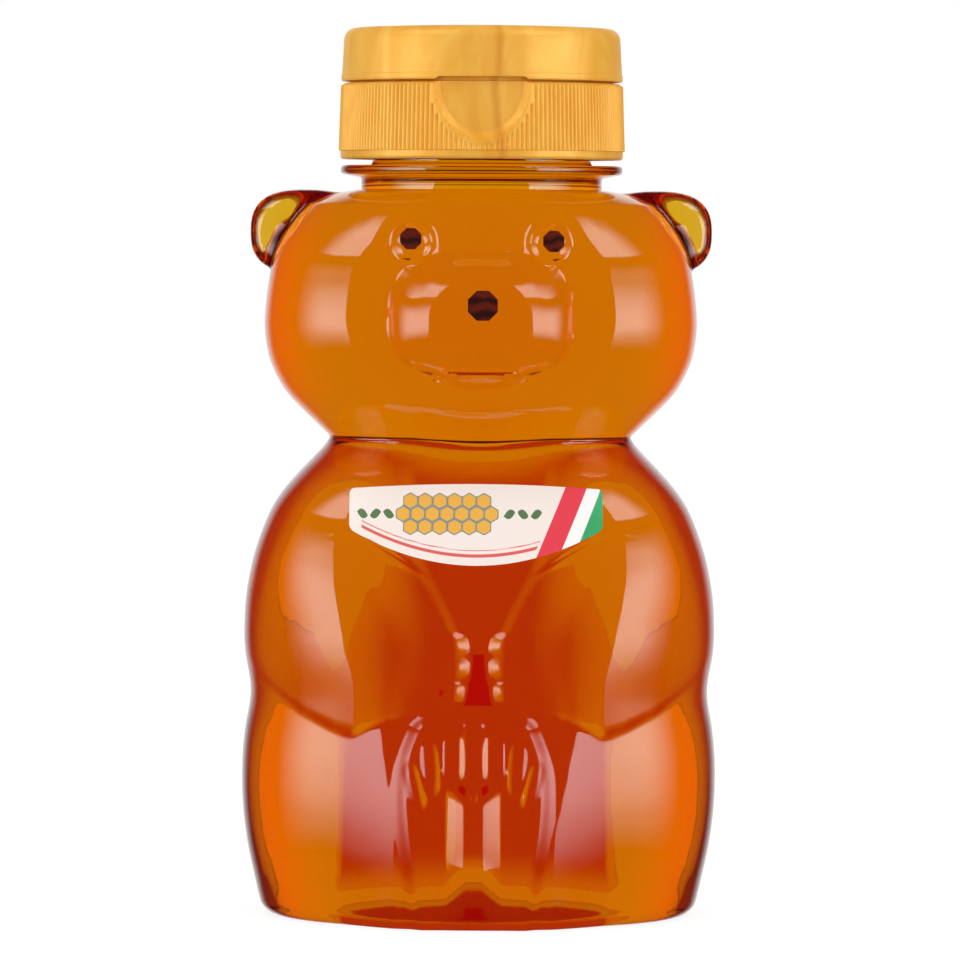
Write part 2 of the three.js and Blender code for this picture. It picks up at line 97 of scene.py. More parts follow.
# Share of the body's height, or of the head's, and how far the outline has gone from the pinch's
# size to the body's or the head's.
haunch_shares = [(0, 0.737), (0.028, 0.79), (0.07, 0.845), (0.153, 0.942)]
shoulder_shares = [
    (0.678, 0.953), (0.761, 0.856), (0.845, 0.682), (0.887, 0.538), (0.929, 0.339), (0.958, 0.184),
    (0.983, 0.058), (1, 0),
]
body_outline_shares = [
    *haunch_shares, (0.237, 0.995), (0.321, 1), (0.384, 0.971), (0.468, 0.906), (0.552, 0.972),
    (0.605, 0.982), *shoulder_shares,
]
front_outline_shares = [
    *haunch_shares, (0.237, 0.99), (0.321, 1), (0.45, 0.998), (0.552, 0.99), (0.605, 0.98),
    *shoulder_shares,
]
back_outline_shares = [
    (0, 0.737), (0.07, 0.85), (0.15, 0.94), (0.26, 0.99), (0.42, 1), (0.6, 0.985), (0.72, 0.91),
    (0.82, 0.74), (0.9, 0.48), (0.96, 0.18), (1, 0),
]
head_outline_shares = [
    (0, 0), (0.07, 0.257), (0.122, 0.448), (0.173, 0.619), (0.224, 0.748), (0.303, 0.886),
    (0.381, 0.962), (0.484, 1), (0.589, 0.976), (0.676, 0.935), (0.784, 0.857), (0.87, 0.714),
    (0.95, 0.505), (1, 0.333),
]


def smooth_line(points, at):
    """A cubic between each two points of a table, with slopes taken from each point's neighbours."""
    x, y = np.array(points, float).T
    slope = np.gradient(y, x)
    slope[1:-1] = (y[2:] - y[:-2]) / (x[2:] - x[:-2])
    i = np.clip(np.searchsorted(x, at, side="right") - 1, 0, len(x) - 2)
    width = x[i + 1] - x[i]
    t = np.clip((at - x[i]) / width, 0, 1)
    lean = width * t * (1 - t) * ((1 - t) * slope[i] - t * slope[i + 1])
    return y[i] + (y[i + 1] - y[i]) * t * t * (3 - 2 * t) + lean


def section(z):
    """The level section at a height: each size goes from the pinch's to the head's or the body's
    by the outline's share there."""
    head = z > body_height
    head_share = smooth_line(head_outline_shares, (z - body_height) / head_height)
    body_share = smooth_line(body_outline_shares, z / body_height)
    front_share = smooth_line(front_outline_shares, z / body_height)
    back_share = smooth_line(back_outline_shares, z / body_height)
    shares = [np.where(head, head_share, part) for part in (body_share, front_share, back_share)]
    sizes = [
        pinch + (np.where(head, of_head, of_body) - pinch) * part
        for pinch, of_head, of_body, part in zip(pinch_size, head_size, body_size, shares)
    ]
    return *sizes, smooth_line(roundness_line, z)


def depth_share(across_share, roundness):
    """Depth of a section at a share of its half width: (1 - |share|^(2/r))^(r/2)."""
    return np.clip(1 - np.abs(across_share) ** (2 / roundness), 0, 1) ** (roundness / 2)


def soft(share):
    """0 to 1 with a level start and end: 3t^2 - 2t^3."""
    t = np.clip(share, 0, 1)
    return t * t * (3 - 2 * t)


def pillow(share):
    """0 to 1 as the edge of a pillow rises, steep at its foot and level at its top: 2t - t^2."""
    t = np.clip(share, 0, 1)
    return t * (2 - t)


def bump(distance):
    """1 at distance 0, falling to a level 0 at distance 1: (1 - d^2)^2."""
    return (1 - np.clip(np.abs(distance), 0, 1) ** 2) ** 2


# The face's parts: the height of each middle, or its place across, its half sizes and its depth.
muzzle_height, muzzle_half_width, muzzle_half_height, muzzle_depth = 96.2, 14.4, 10.2, 6.4
lip_low, lip_high, lip_half_width, lip_depth = 84.5, 88.5, 10.6, 4.6
mouth_height, mouth_half_width, mouth_half_height = 86.4, 9.6, 0.9
chin_height, chin_half_width, chin_half_height, chin_depth = 81.5, 12.5, 7.5, 3.0
eye_aside, eye_height, eye_radius, brow_radius = 10.9, 107.3, 3.25, 6.2


def face_relief(x, z):
    """Muzzle: (1 - d^2.6)^q of a squared oval, whose foot is a crease, softer above. Lip: a lens
    under it. Chin: a broad mound. Eyes: a dome in a ring groove under a low brow."""
    across = np.abs(x)
    up = (z - muzzle_height) / muzzle_half_height
    distance = np.cbrt((across / muzzle_half_width) ** 3 + np.abs(up) ** 3)
    crease = 0.4 * bump((distance - 1.03) / 0.1) * soft(1.1 - up)
    distance = np.minimum(distance, 1)
    power = 0.55 + 0.2 * soft(up + 1) + 0.85 * soft(up / 0.9)
    muzzle = muzzle_depth * (1 - distance ** 2.6) ** power - crease
    over_lip_edge = z - lip_low - 1.9 * (across / 8.0) ** 2
    lip_ends = soft((lip_half_width - across) / 3.6) * soft((lip_high - z) / 2)
    lip = lip_depth * np.clip(over_lip_edge / 1.9, 0, 1) * lip_ends
    mouth = 0.8 * bump((z - mouth_height) / mouth_half_height) * soft((mouth_half_width - across) / 3)
    chin = chin_depth * bump(x / chin_half_width) * bump((z - chin_height) / chin_half_height)
    from_eye = np.hypot(across - eye_aside, z - eye_height)
    dome = 1.15 * np.clip(1 - (from_eye / eye_radius) ** 2, 0, 1) ** 0.8
    socket = 0.3 * bump((from_eye - eye_radius - 0.15) / 1.3)
    brow = 0.25 * bump((from_eye - brow_radius) / 2.6) * soft((z - eye_height) / 5)
    bridge = 0.9 * bump(across / 6.4) * bump((z - eye_height + 0.3) / 8)
    return np.maximum(muzzle, lip) - mouth + chin + dome - socket + brow + bridge


# Inner edge of a forearm, as heights and places across, the crease over it and its lower edge,
# as places across and heights.
arm_inner_line = [
    (30, 3.0), (32.8, 2.8), (37, 2.1), (41, 1.3), (44, 1.2), (48, 2.4), (52.6, 4.6), (56, 6.5), (62, 9),
]
arm_crease_line = [
    (6.6, 54.2), (7.6, 54.8), (12, 57.3), (15.5, 59.2), (18.6, 60.7), (24.1, 61.4), (25.5, 61.3),
]
arm_lower_line = [
    (0, 32.8), (6.4, 32.9), (12.1, 32.3), (15.3, 31.4), (19.5, 29.6), (22.8, 30.7), (27.7, 32.9),
    (32.7, 36.5), (38, 41),
]
finger_heights = (44.9, 41.0, 37.2)
finger_half_height, finger_depth = 1.75, 0.7


def arm_relief(x, z):
    """Forearms: a small step over the lower line, a rounded underside, a soft rise from the inner
    line, and a crease of lens shape above. Fingers: bars with rounded ends at the gap."""
    across = np.abs(x)
    from_inner = across - smooth_line(arm_inner_line, z)
    over = z - np.interp(across, *np.array(arm_lower_line).T)
    round_under = 0.7 * soft(over / 1.7) + 1.3 * pillow(over / 13) * (1 - soft((z - 44) / 15))
    inward = 0.4 * soft(from_inner / 3.6) + 0.6 * soft(from_inner / 12)
    arm = round_under * inward * (1 - 0.8 * soft((across - 23) / 14))
    crease_height = smooth_line(arm_crease_line, across)
    thick = 0.2 + 0.8 * bump((across - 15.5) / 9.5)
    groove = np.clip((z - crease_height) / thick, -1, 1)
    crease = 0.6 * thick * (1 - groove) * (1 + groove) ** 2 * bump((across - 15.9) / 9.4)
    fingers = 0
    for height in finger_heights:
        upright = np.clip(1 - ((z - height) / finger_half_height) ** 2, 0, 1)
        length = pillow(from_inner / 2.2) * (1 - soft((across - 3.5) / 5))
        fingers = np.maximum(fingers, finger_depth * upright ** 0.6 * length)
    return arm + fingers - crease


foot_outer_line = [
    (0, 10.2), (2, 10.5), (9.1, 11.4), (15.7, 12.3), (22.5, 12.6), (27, 12.2), (30, 11.2), (34, 9.5),
]
feet_middle = -0.75
sole_top = 34.5
toe_depth = 0.48
# Places across and up, half width, half height and lean of each toe.
toes = [(3.35, 27.0, 1.75, 4.9, 0.0), (6.75, 25.8, 1.6, 4.7, 0.08), (9.15, 23.0, 1.4, 3.7, 0.25)]


def foot_relief(x, z):
    """Legs: a ramp from the thighs to the feet that lies back upwards. Soles: slabs on it, which
    slope in to the gap between them below an arch and are level above it, where three rounded bars
    stand on them for the toes."""
    across = np.abs(x - feet_middle)
    outer = smooth_line(foot_outer_line, z)
    ramp = np.clip((20.6 - across) / 8.4, 0, 1)
    leg = (3.0 - 0.055 * z) * (ramp - 0.12 * ramp ** 2 * (ramp - 1)) * soft((36 - z) / 5)
    arch = 21.4 - 0.11 * (across - 5.2) ** 2
    level = soft((z - arch) / 4.0)
    inner_slope = 1.6 * (1 - np.clip((across - 1.3) / 3.1, 0, 1)) * soft((z - 1) / 11)
    heel = 0.7 + 0.5 * soft((across - 4) / 5) - inner_slope
    ball = 1.2 - 0.5 * (1 - soft((across - 0.5) / 1.8))
    sole = heel + (ball - heel) * level
    slab = sole * soft((outer - across) / 2.4) * soft((sole_top - z) / 3)
    toe = 0
    for aside, height, half_width, half_height, lean in toes:
        shifted = (across - aside - lean * (z - height)) / half_width
        rise = 1 - np.minimum(np.abs(shifted) ** 2.2 + np.abs((z - height) / half_height) ** 3, 1)
        toe = np.maximum(toe, toe_depth * rise)
    return leg + slab + toe


def front_relief(x, z):
    """How far the bear's front stands out of its plain section."""
    return face_relief(x, z) + np.maximum(arm_relief(x, z), foot_relief(x, z))


def inner_relief(x, z):
    """The front's relief as the inside of the wall follows it: its least value close by."""
    steps = (-1.2, 0, 1.2)
    return np.min([front_relief(x + dx, z + dz) for dx in steps for dz in steps], axis=0)


ear_middle = np.array([28.0, 1.0, 108.9])
ear_half = np.array([8.9, 4.6, 6.7])
ear_core = np.array([24.5, 1.0, 107.5])
ear_squareness = 2.7
ear_join = 1.0
ear_reach = 30.0
dish_middle, dish_half, dish_depth = (33.2, 108.6), (3.0, 4.9), 0.6


def with_ears(points, inset):
    """Each point near an ear moves out along the line from a core inside the head, until it reaches
    the ear's rounded block, found by halving. A soft maximum joins ear and head, and a shallow
    dish goes into the ear's front."""
    points = points.copy()
    for side in (-1, 1):
        mirror = np.array([side, 1, 1])
        near = (points[..., 0] * side > 12) & (points[..., 2] > 92)
        core = ear_core * mirror
        away = points[near] - core
        distance = np.linalg.norm(away, axis=-1)
        toward = away / distance[:, None]
        low, high = np.zeros_like(distance), np.full_like(distance, ear_reach)
        for _ in range(30):
            middle = (low + high) / 2
            place = (core + toward * middle[:, None] - ear_middle * mirror) / (ear_half - inset)
            inside = (np.abs(place) ** ear_squareness).sum(-1) < 1
            low, high = np.where(inside, middle, low), np.where(inside, high, middle)
        mixed = np.clip(0.5 + (low - distance) / (2 * ear_join), 0, 1)
        reach = distance + (low - distance) * mixed + ear_join * mixed * (1 - mixed)
        moved = core + toward * reach[:, None]
        from_dish = (np.abs(moved[:, [0, 2]]) - dish_middle) / dish_half
        proud = soft((reach - distance) / 2) * (moved[:, 1] < ear_middle[1])
        moved[:, 1] += dish_depth * bump(np.linalg.norm(from_dish, axis=1)) * proud
        points[near] = moved
    return points


def bear_rings(turns, heights, inset, relief, strength=1.0):
    """Level rings of the bear: across is half width times cos(turn), depth is the section's depth
    share, and the front half is pushed out by the relief times a strength, which fades at the very
    sides."""
    z = np.asarray(heights, float)[:, None]
    inset = np.broadcast_to(np.asarray(inset, float).reshape(-1, 1), z.shape)
    half_width, front, back, roundness = section(np.minimum(z, head_top))
    share = np.cos(turns)[None, :]
    across = (half_width - inset) * share
    deep = depth_share(share, roundness)
    in_front = np.sin(turns)[None, :] < 0
    out = relief(across, z + 0 * across) * soft(deep / 0.3) * np.asarray(strength).reshape(-1, 1)
    y = np.where(in_front, -(front - inset) * deep - out, (back - inset) * deep)
    return np.stack([across, y, z + 0 * across], -1)


def round_rings(turns, radii, heights):
    """Level circles, one for each radius and height."""
    radius, z = np.asarray(radii, float)[:, None], np.asarray(heights, float)[:, None]
    radius = np.broadcast_to(radius, (len(z), len(turns)))
    return np.stack([radius * np.cos(turns), radius * np.sin(turns), z + 0 * radius], -1)


def shoulder_rings(edge, circle, rise, shares):
    """Rings from the head's top edge in to the neck's circle: across by share, up by
    rise times 1 - (1 - share)^1.5."""
    share = np.asarray(shares, float)[:, None, None]
    rings = edge + (circle - edge) * share
    rings[..., 2] = edge[None, :, 2] + rise * (1 - (1 - share[..., 0]) ** 1.5)
    return rings


def columns(count):
    """Turns round the bear, closer together at the ears and closest down the middle of the front."""
    turn = np.linspace(-np.pi, np.pi, 7201)
    side = np.minimum(np.abs(turn), np.pi - np.abs(turn))
    density = np.where(turn < 0, 0.66, 0.26) + 1.1 * np.exp(-(side / 0.16) ** 2)
    density += 1.6 * np.exp(-(((turn + np.pi / 2) / 0.38) ** 2))
    total = np.concatenate([[0], np.cumsum((density[1:] + density[:-1]) / 2)])
    return np.interp((np.arange(count) + 0.5) / count, total / total[-1], turn)


def strips(first, rows, count, around=False):
    """Four-sided faces between rings of points that are numbered ring by ring from first. Around
    joins the last ring to the first."""
    i = np.arange(rows if around else rows - 1)[:, None]
    row, after = first + count * i, first + count * ((i + 1) % rows)
    j = np.arange(count)
    k = (j + 1) % count
    return np.stack([row + j, row + k, after + k, after + j], -1).reshape(-1, 4).tolist()


def fan(middle, ring, upward):
    """Triangles from a middle point to a ring, facing up or down."""
    ring = np.asarray(ring)
    after = np.roll(ring, -1)
    pair = (ring, after) if upward else (after, ring)
    return np.stack([np.full_like(ring, middle), *pair], -1).tolist()


def stitch(many, few):
    """Faces between a ring and one with a whole fraction of its points, from the first outwards."""
    step = len(many) // len(few)
    many, few = np.asarray(many), np.asarray(few)
    start = np.arange(len(few)) * step
    span = [many[(start + i) % len(many)] for i in range(step + 1)]
    return np.stack([*span, np.roll(few, -1), few], -1).tolist()


def make_piece(name, points, faces, materials, slots=None, sharp=35.0):
    """A mesh object from points in millimetres, smooth but for edges sharper than an angle."""
    mesh = bpy.data.meshes.new(name)
    mesh.from_pydata((np.concatenate(points) * MM).tolist(), [], faces)
    for material in materials:
        mesh.materials.append(material)
    if slots is not None:
        mesh.polygons.foreach_set("material_index", np.asarray(slots, np.int32))
    mesh.shade_smooth()
    mesh.set_sharp_from_angle(angle=math.radians(sharp))
    mesh.update()
    made = bpy.data.objects.new(name, mesh)
    scene.collection.objects.link(made)
    return made


def colour(code):
    """An sRGB hex colour as linear values: ((c + 0.055) / 1.055)^2.4 above the linear toe."""
    parts = [int(code[i : i + 2], 16) / 255 for i in (1, 3, 5)]
    return (*[c / 12.92 if c <= 0.04045 else ((c + 0.055) / 1.055) ** 2.4 for c in parts], 1.0)


def add(tree, kind, inputs=None, **settings):
    """Adds a node to a tree, sets its settings, and sets or links its inputs."""
    made = tree.nodes.new("ShaderNode" + kind)
    for key, value in settings.items():
        setattr(made, key, value)
    for key, value in (inputs or {}).items():
        if isinstance(value, bpy.types.NodeSocket):
            tree.links.new(value, made.inputs[key])
        else:
            made.inputs[key].default_value = value
    return made


def new_material(name):
    """An empty material, its node tree and the tree's output node."""
    made = bpy.data.materials.new(name)
    made.use_nodes = True
    made.node_tree.nodes.clear()
    return made, made.node_tree, add(made.node_tree, "OutputMaterial")


# Thread: a right-handed ridge that starts at +X and climbs one pitch a turn, for a turn and a half.
thread_pitch = 4.233
thread_turns = 1.5
thread_stand_out = 1.15
thread_foot = rim - 2.2 - thread_pitch * thread_turns
finish_radius = 17.5
ridge_half_foot, ridge_half_top = 1.2, 0.6


def thread_ridge(turns, z, foot, length):
    """How far a thread stands out at a turn and a height: a trapezoid across the helix."""
    angle = np.mod(turns, 2 * np.pi) / (2 * np.pi)
    out = np.zeros(np.broadcast(angle, z).shape)
    for whole in range(3):
        progress = angle + whole
        off = np.abs(z - foot - thread_pitch * progress)
        ends = soft(progress / 0.04) * soft((length - progress) / 0.04)
        flank = (ridge_half_foot - off) / (ridge_half_foot - ridge_half_top)
        out = np.maximum(out, np.clip(flank, 0, 1) * ends)
    return out * thread_stand_out


# PET as blown: clear and glossy, with a faint swimming of its surface over a few millimetres.
blown_pet, tree, out = new_material("blown_clear_pet")
place = add(tree, "TexCoord").outputs["Object"]
swim = add(tree, "TexNoise", {"Vector": place, "Scale": 160.0, "Detail": 2.0, "Roughness": 0.4})
relief_bump = add(tree, "Bump", {"Height": swim.outputs["Fac"], "Strength": 0.12, "Distance": 0.0003})
shader = add(tree, "BsdfPrincipled", {
    "Base Color": colour("#fffaf0"), "Roughness": 0.03, "IOR": 1.5, "Transmission Weight": 1.0,
    "Normal": relief_bump.outputs["Normal"],
})
tree.links.new(shader.outputs["BSDF"], out.inputs["Surface"])

# The inside of the wall where honey wets it: honey bends light as the plastic does, so this face
# can't be seen.
wetted_pet, tree, out = new_material("pet_wetted_by_honey")
shader = add(tree, "BsdfPrincipled", {"Roughness": 0.0, "IOR": 1.0, "Transmission Weight": 1.0})
tree.links.new(shader.outputs["BSDF"], out.inputs["Surface"])

outer_turns = columns(288)
inner_turns = outer_turns[::3]
corner_turn = np.linspace(0, np.pi / 2, 8)[:-1]
dome_shares = np.linspace(0.1, 1, 7)
# Heights from and to, and the step between rings there.
level_steps = [
    (foot_corner, 36, 0.52), (36, 53, 0.6), (53, 62, 0.3), (62, 74, 1.0), (74, 78.6, 0.35),
    (78.6, 84, 0.75), (84, 89, 0.25), (89, 101, 0.65), (101, head_top, 0.42),
]
levels = np.concatenate([np.arange(low, high - 0.01, step) for low, high, step in level_steps])
# Radii and heights of the neck and of the support ring on it.
neck_profile = np.array([
    (neck_radius, 116.0), (neck_radius, 117.3), (19.4, 117.55), (20.4, 117.75), (21.9, 118.05),
    (22.35, 118.25), (22.5, 118.55), (22.5, 119.05), (22.38, 119.35), (22.1, 119.5), (18.2, 119.5),
    (17.7, 119.6),
])
finish_heights = np.linspace(119.9, rim - 0.4, 30)
base_edge = bear_rings(outer_turns, [0], foot_corner + standing_band, front_relief, 0.0)[0]
dome = base_edge[None] * dome_shares[:, None, None]
dome[..., 2] = push_up * (1 - dome_shares[:, None] ** 2.4)
band = bear_rings(outer_turns, [0, 0, 0], [5.5, 4.0, 2.6], front_relief, [0.3, 0.65, 0.95])
corner = bear_rings(
    outer_turns, foot_corner * (1 - np.cos(corner_turn)), foot_corner * (1 - np.sin(corner_turn)),
    front_relief,
)
trunk = bear_rings(outer_turns, [*levels, head_top], 0, front_relief)
neck_circle = round_rings(outer_turns, [neck_radius], [head_top])[0]
shoulder = shoulder_rings(trunk[-1], neck_circle, shoulder_rise, np.linspace(0.08, 1, 8))
neck = round_rings(outer_turns, *neck_profile.T)
finish = round_rings(outer_turns, [finish_radius] * len(finish_heights), finish_heights)
ridge = thread_ridge(outer_turns[None], finish_heights[:, None], thread_foot, thread_turns)
finish[..., :2] *= (1 + ridge / finish_radius)[..., None]
rim_rings = round_rings(outer_turns, [finish_radius, finish_radius - 0.3], [rim - 0.3, rim])
outer_skin = with_ears(
    np.concatenate([dome, band, corner, trunk, shoulder, neck, finish, rim_rings]), 0.0
)


def inside_skin(inset, level):
    """Rings of the bottle's inside from a height in the bore down to the middle of its floor, drawn
    in by an inset."""
    inner_corner = 1.6
    bore = bore_radius - (inset - wall)
    bore_heights = np.linspace(level, head_top + 2.6, 12)
    heights = np.concatenate([np.arange(head_top, 88, -1.3), np.arange(88, 2.6 + inset, -1.4)])
    sides = bear_rings(inner_turns, heights, inset, inner_relief)
    tube = round_rings(inner_turns, [bore] * len(bore_heights), bore_heights)
    circle = round_rings(inner_turns, [bore], [head_top])[0]
    top = shoulder_rings(sides[0], circle, shoulder_rise - wall, np.linspace(1, 0.1, 7))
    turn = np.linspace(0.2, 1, 5) * np.pi / 2
    bend_heights = inset + inner_corner * (1 - np.sin(turn))
    bend_insets = inset + inner_corner * (1 - np.cos(turn))
    bend = bear_rings(inner_turns, bend_heights, bend_insets, inner_relief)
    edge = bear_rings(inner_turns, [0], foot_corner + standing_band, front_relief, 0.0)[0]
    shares = np.linspace(1, 0.12, 7)
    floor = edge[None] * shares[:, None, None]
    floor[..., 2] = inset + push_up * (1 - shares[:, None] ** 2.4)
    return with_ears(np.concatenate([tube, top, sides, bend, floor]), inset)


dry_bore = round_rings(inner_turns, [bore_radius] * 6, np.linspace(rim, honey_level + 0.8, 6))
inner_skin = np.concatenate([dry_bore, inside_skin(wall, honey_level)])
outer_rows, outer_count = outer_skin.shape[:2]
inner_rows, inner_count = inner_skin.shape[:2]
first_inner = outer_rows * outer_count
poles = first_inner + inner_rows * inner_count
faces = fan(poles, np.arange(outer_count), False)
faces += strips(0, outer_rows, outer_count)
rim_edge = np.arange(first_inner - outer_count, first_inner)
faces += stitch(rim_edge, first_inner + np.arange(inner_count))
wetted = len(faces) + len(dry_bore) * inner_count
faces += strips(first_inner, inner_rows, inner_count)
faces += fan(poles + 1, poles - inner_count + np.arange(inner_count), True)
pole_points = np.array([(0, 0, push_up), (0, 0, push_up + wall)])
bottle = make_piece(
    "bear_bottle_blown", [outer_skin.reshape(-1, 3), inner_skin.reshape(-1, 3), pole_points],
    faces, [blown_pet, wetted_pet], np.arange(len(faces)) >= wetted, sharp=50,
)
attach(bottle, "bottle")
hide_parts("bear_bottle")

# Honey: it fills the bottle up into the neck. Its colour is only that of the light it lets
# through, so it darkens from yellow in the ears to red-brown where the bear is thickest.
honey_gap = 0.06
# How strongly honey takes red, green and blue light: each fades by e to this power in a metre.
honey_fade = (2.0, 19.0, 350.0)
honey_skin_tint = "#fdd27a"
deepest = max(honey_fade)


def closed_rings(rings, first, last):
    """Points and faces of a body whose rings run from a middle point on top, out, down and back in
    to a middle point below."""
    rows, count = rings.shape[:2]
    points = [rings.reshape(-1, 3), np.array([first, last], float)]
    faces = fan(rows * count, np.arange(count), True)
    faces += [face[::-1] for face in strips(0, rows, count)]
    faces += fan(rows * count + 1, (rows - 1) * count + np.arange(count), False)
    return points, faces


def clear_liquid(name, ior):
    """A liquid that only takes light from what passes through it, with one bend of light."""
    made, tree, out = new_material(name)
    shader = add(tree, "BsdfPrincipled", {
        "Base Color": colour(honey_skin_tint), "Roughness": 0.0, "IOR": ior, "Transmission Weight": 1.0,
    })
    taken = (*[1 - fade / deepest for fade in honey_fade], 1.0)
    absorb = add(tree, "VolumeAbsorption", {"Color": taken, "Density": deepest})
    tree.links.new(shader.outputs["BSDF"], out.inputs["Surface"])
    tree.links.new(absorb.outputs["Volume"], out.inputs["Volume"])
    return made


honey_skin = inside_skin(wall + honey_gap, honey_level)
top_shares = np.linspace(0.1, 0.97, 7)
top_rings = honey_skin[:1] * top_shares[:, None, None]
top_rings[..., 2] = honey_level
points, faces = closed_rings(
    np.concatenate([top_rings, honey_skin]), (0, 0, honey_level), (0, 0, push_up + wall + honey_gap)
)
on_top = np.arange(len(faces)) < honey_skin.shape[1] * (1 + len(top_shares))
honey = make_piece(
    "honey_fill", points, faces,
    [clear_liquid("clear_honey", 1.0), clear_liquid("honey_surface_in_air", 1.49)], on_top, sharp=50,
)
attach(honey, "bottle")
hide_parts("honey")

# Eyes and nose: eight-sided spots of dark brown ink, screen printed on the blown plastic, on the
# domes of the eyes and the tip of the muzzle.
print_thickness = 0.05
print_sunk = 0.06


def bear_front(x, z):
    """Depth of the bottle's front at a place across and a height."""
    half_width, front, _, roundness = section(z)
    deep = depth_share(x / half_width, roundness)
    return -front * deep - front_relief(x, z) * soft(deep / 0.3)


def ink_spot(radius, aside, height):
    """A flat eight-sided spot laid on the bottle: the radius at a turn is that of the octagon,
    r cos(22.5) / cos(turn within its side)."""
    turn = np.arange(64) / 64 * 2 * np.pi
    within = np.mod(turn + np.pi / 8, np.pi / 4) - np.pi / 8
    side = radius * np.cos(np.pi / 8) / np.cos(within)
    outward = np.array([0.2, 0.4, 0.6, 0.8, 0.96, 1.0])
    share = np.concatenate([outward, outward[::-1]])[:, None]
    lift = np.where(np.arange(len(share)) < len(outward), print_thickness, -print_sunk)
    x = aside + side * share * np.cos(turn)
    z = height + side * share * np.sin(turn)
    rings = np.stack([x, bear_front(x, z) - lift[:, None], z], -1)
    middle = bear_front(np.array(aside), np.array(height))
    return closed_rings(
        rings, (aside, middle - print_thickness, height), (aside, middle + print_sunk, height)
    )


# Dark ink laid thin by a screen: it lets a little amber through in fine wavering lines.
brown_ink, tree, out = new_material("screen_printed_brown_ink")
place = add(tree, "TexCoord").outputs["Object"]
lines = add(tree, "TexWave", {
    "Vector": place, "Scale": 160.0, "Distortion": 5.0, "Detail": 3.0, "Detail Scale": 2.0,
}, bands_direction="Z")
shade = add(tree, "Mix", {
    "Factor": lines.outputs["Fac"], 6: colour("#2a0d08"), 7: colour("#5c190c"),
}, data_type="RGBA")
shader = add(tree, "BsdfPrincipled", {"Base Color": shade.outputs[2], "Roughness": 0.6, "IOR": 1.15})
tree.links.new(shader.outputs["BSDF"], out.inputs["Surface"])

for name, radius, aside, height in [
    ("eye_left", 1.78, -11.0, 107.9), ("eye_right", 1.78, 11.3, 107.6), ("nose", 2.5, 0.3, 97.6),
]:
    points, faces = ink_spot(radius, aside, height)
    spot = make_piece(name + "_print", points, faces, [brown_ink])
    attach(spot, "bottle")
    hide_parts(name)

# Front label: a glossy paper sticker with a curved lower edge, pressed on the chest. Its print is
# a row of honeycomb with sprigs beside it, two rules along the lower edge and slanting stripes.
front_label_middle = -0.6
front_label_half = 19.8
front_label_top, front_label_arch = 69.6, 0.8
front_label_bottom, front_label_side = 57.05, 62.6
front_label_corner = 0.75
label_thickness = 0.12
label_sunk = 0.06
paper_white, comb_grey, comb_gold = "#faece3", "#8d938c", "#f3b545"
leaf_green, rule_red = "#5d7f52", "#e8625c"
comb_at, comb_size, comb_reach = (-4.5, 65.0), 1.15, (6, 1.2)
leaf_length, leaf_half_height = 2.1, 0.75
# Places along the label that the sprigs go from and to.
sprig_ends = [(3.9, 10.8), (-19.2, -12.3)]
# Heights over the label's lower edge and half widths of a broad rule and a thin one.
rule_lines = [(1.5, 0.28), (2.35, 0.12)]
# Places along the label that the stripes go from and to, and their inks.
stripes = [(13.9, 17.4, "#ee3a4c"), (17.4, 19.7, "#fdfbf8"), (19.7, 40.0, "#35ab68")]


def corner_cut(aside, half_width, radius):
    """How far a rounded corner takes the edge back, near the side: r - sqrt(r^2 - d^2)."""
    into = np.clip(np.abs(aside) - (half_width - radius), 0, radius)
    return radius - np.sqrt(radius ** 2 - into ** 2)


def grid_faces(rows, count):
    """The numbers of a grid's points, row by row, and the four-sided faces between them."""
    number = np.arange(rows * count).reshape(rows, count)
    grid = np.stack([number[:-1, :-1], number[:-1, 1:], number[1:, 1:], number[1:, :-1]], -1)
    return number, grid.reshape(-1, 4)


def closed_sheet(outer, inner):
    """Points and faces of a sheet from two grids, and how many faces the outer has: the outer, the
    inner turned round, and the edge between their borders."""
    rows, count = outer.shape[:2]
    number, grid = grid_faces(rows, count)
    border = np.concatenate([number[0, :-1], number[:-1, -1], number[-1, :0:-1], number[:0:-1, 0]])
    after = np.roll(border, -1)
    below = rows * count
    edge = np.stack([border, border + below, after + below, after], -1)
    faces = grid.tolist() + (grid[:, ::-1] + below).tolist() + edge.tolist()
    return [outer.reshape(-1, 3), inner.reshape(-1, 3)], faces, len(grid)


def mark(piece, name, values):
    """Stores a number for each point of a piece, the same for its outer and inner grids."""
    layer = piece.data.attributes.new(name, "FLOAT", "POINT")
    layer.data.foreach_set("value", np.tile(values.ravel(), 2).astype(np.float32))


def comb_distance(x, z, size, reach):
    """Distance into the nearest cell of a honeycomb: size less the larger of u and (u + v sqrt 3) / 2,
    the distances from a cell's middle along its axes, over two crossed rows of cells. Cells whose
    middles are further out than the reach, in cells across and rows up, are left out."""
    nearest = np.full(x.shape, -9.0)
    wide, tall = 2 * size, 2 * size * np.sqrt(3)
    half_columns, half_rows = reach[0] / 2, reach[1] / 2
    for dx, dz in ((0, 0), (wide / 2, tall / 2)):
        column = np.clip(np.round((x - dx) / wide), -half_columns, np.floor(half_columns - dx / wide))
        lowest, highest = -np.floor(half_rows + dz / tall), np.floor(half_rows)
        row = np.clip(np.round((z - dz) / tall), lowest, highest)
        u = np.abs(x - dx - column * wide)
        v = np.abs(z - dz - row * tall)
        nearest = np.maximum(nearest, size - np.maximum(u, (u + np.sqrt(3) * v) / 2))
    return nearest


def sprig_distance(x, z, length, half_height):
    """Distance into the nearest leaf of a row that lean up and down by turns."""
    u = np.mod(x, length) - length / 2
    turn = np.where(np.mod(np.floor(x / length), 2) < 1, 1, -1)
    v = (z - 0.35 * u * turn) / half_height
    return half_height * (1 - (2.3 * u / length) ** 2 - np.abs(v))


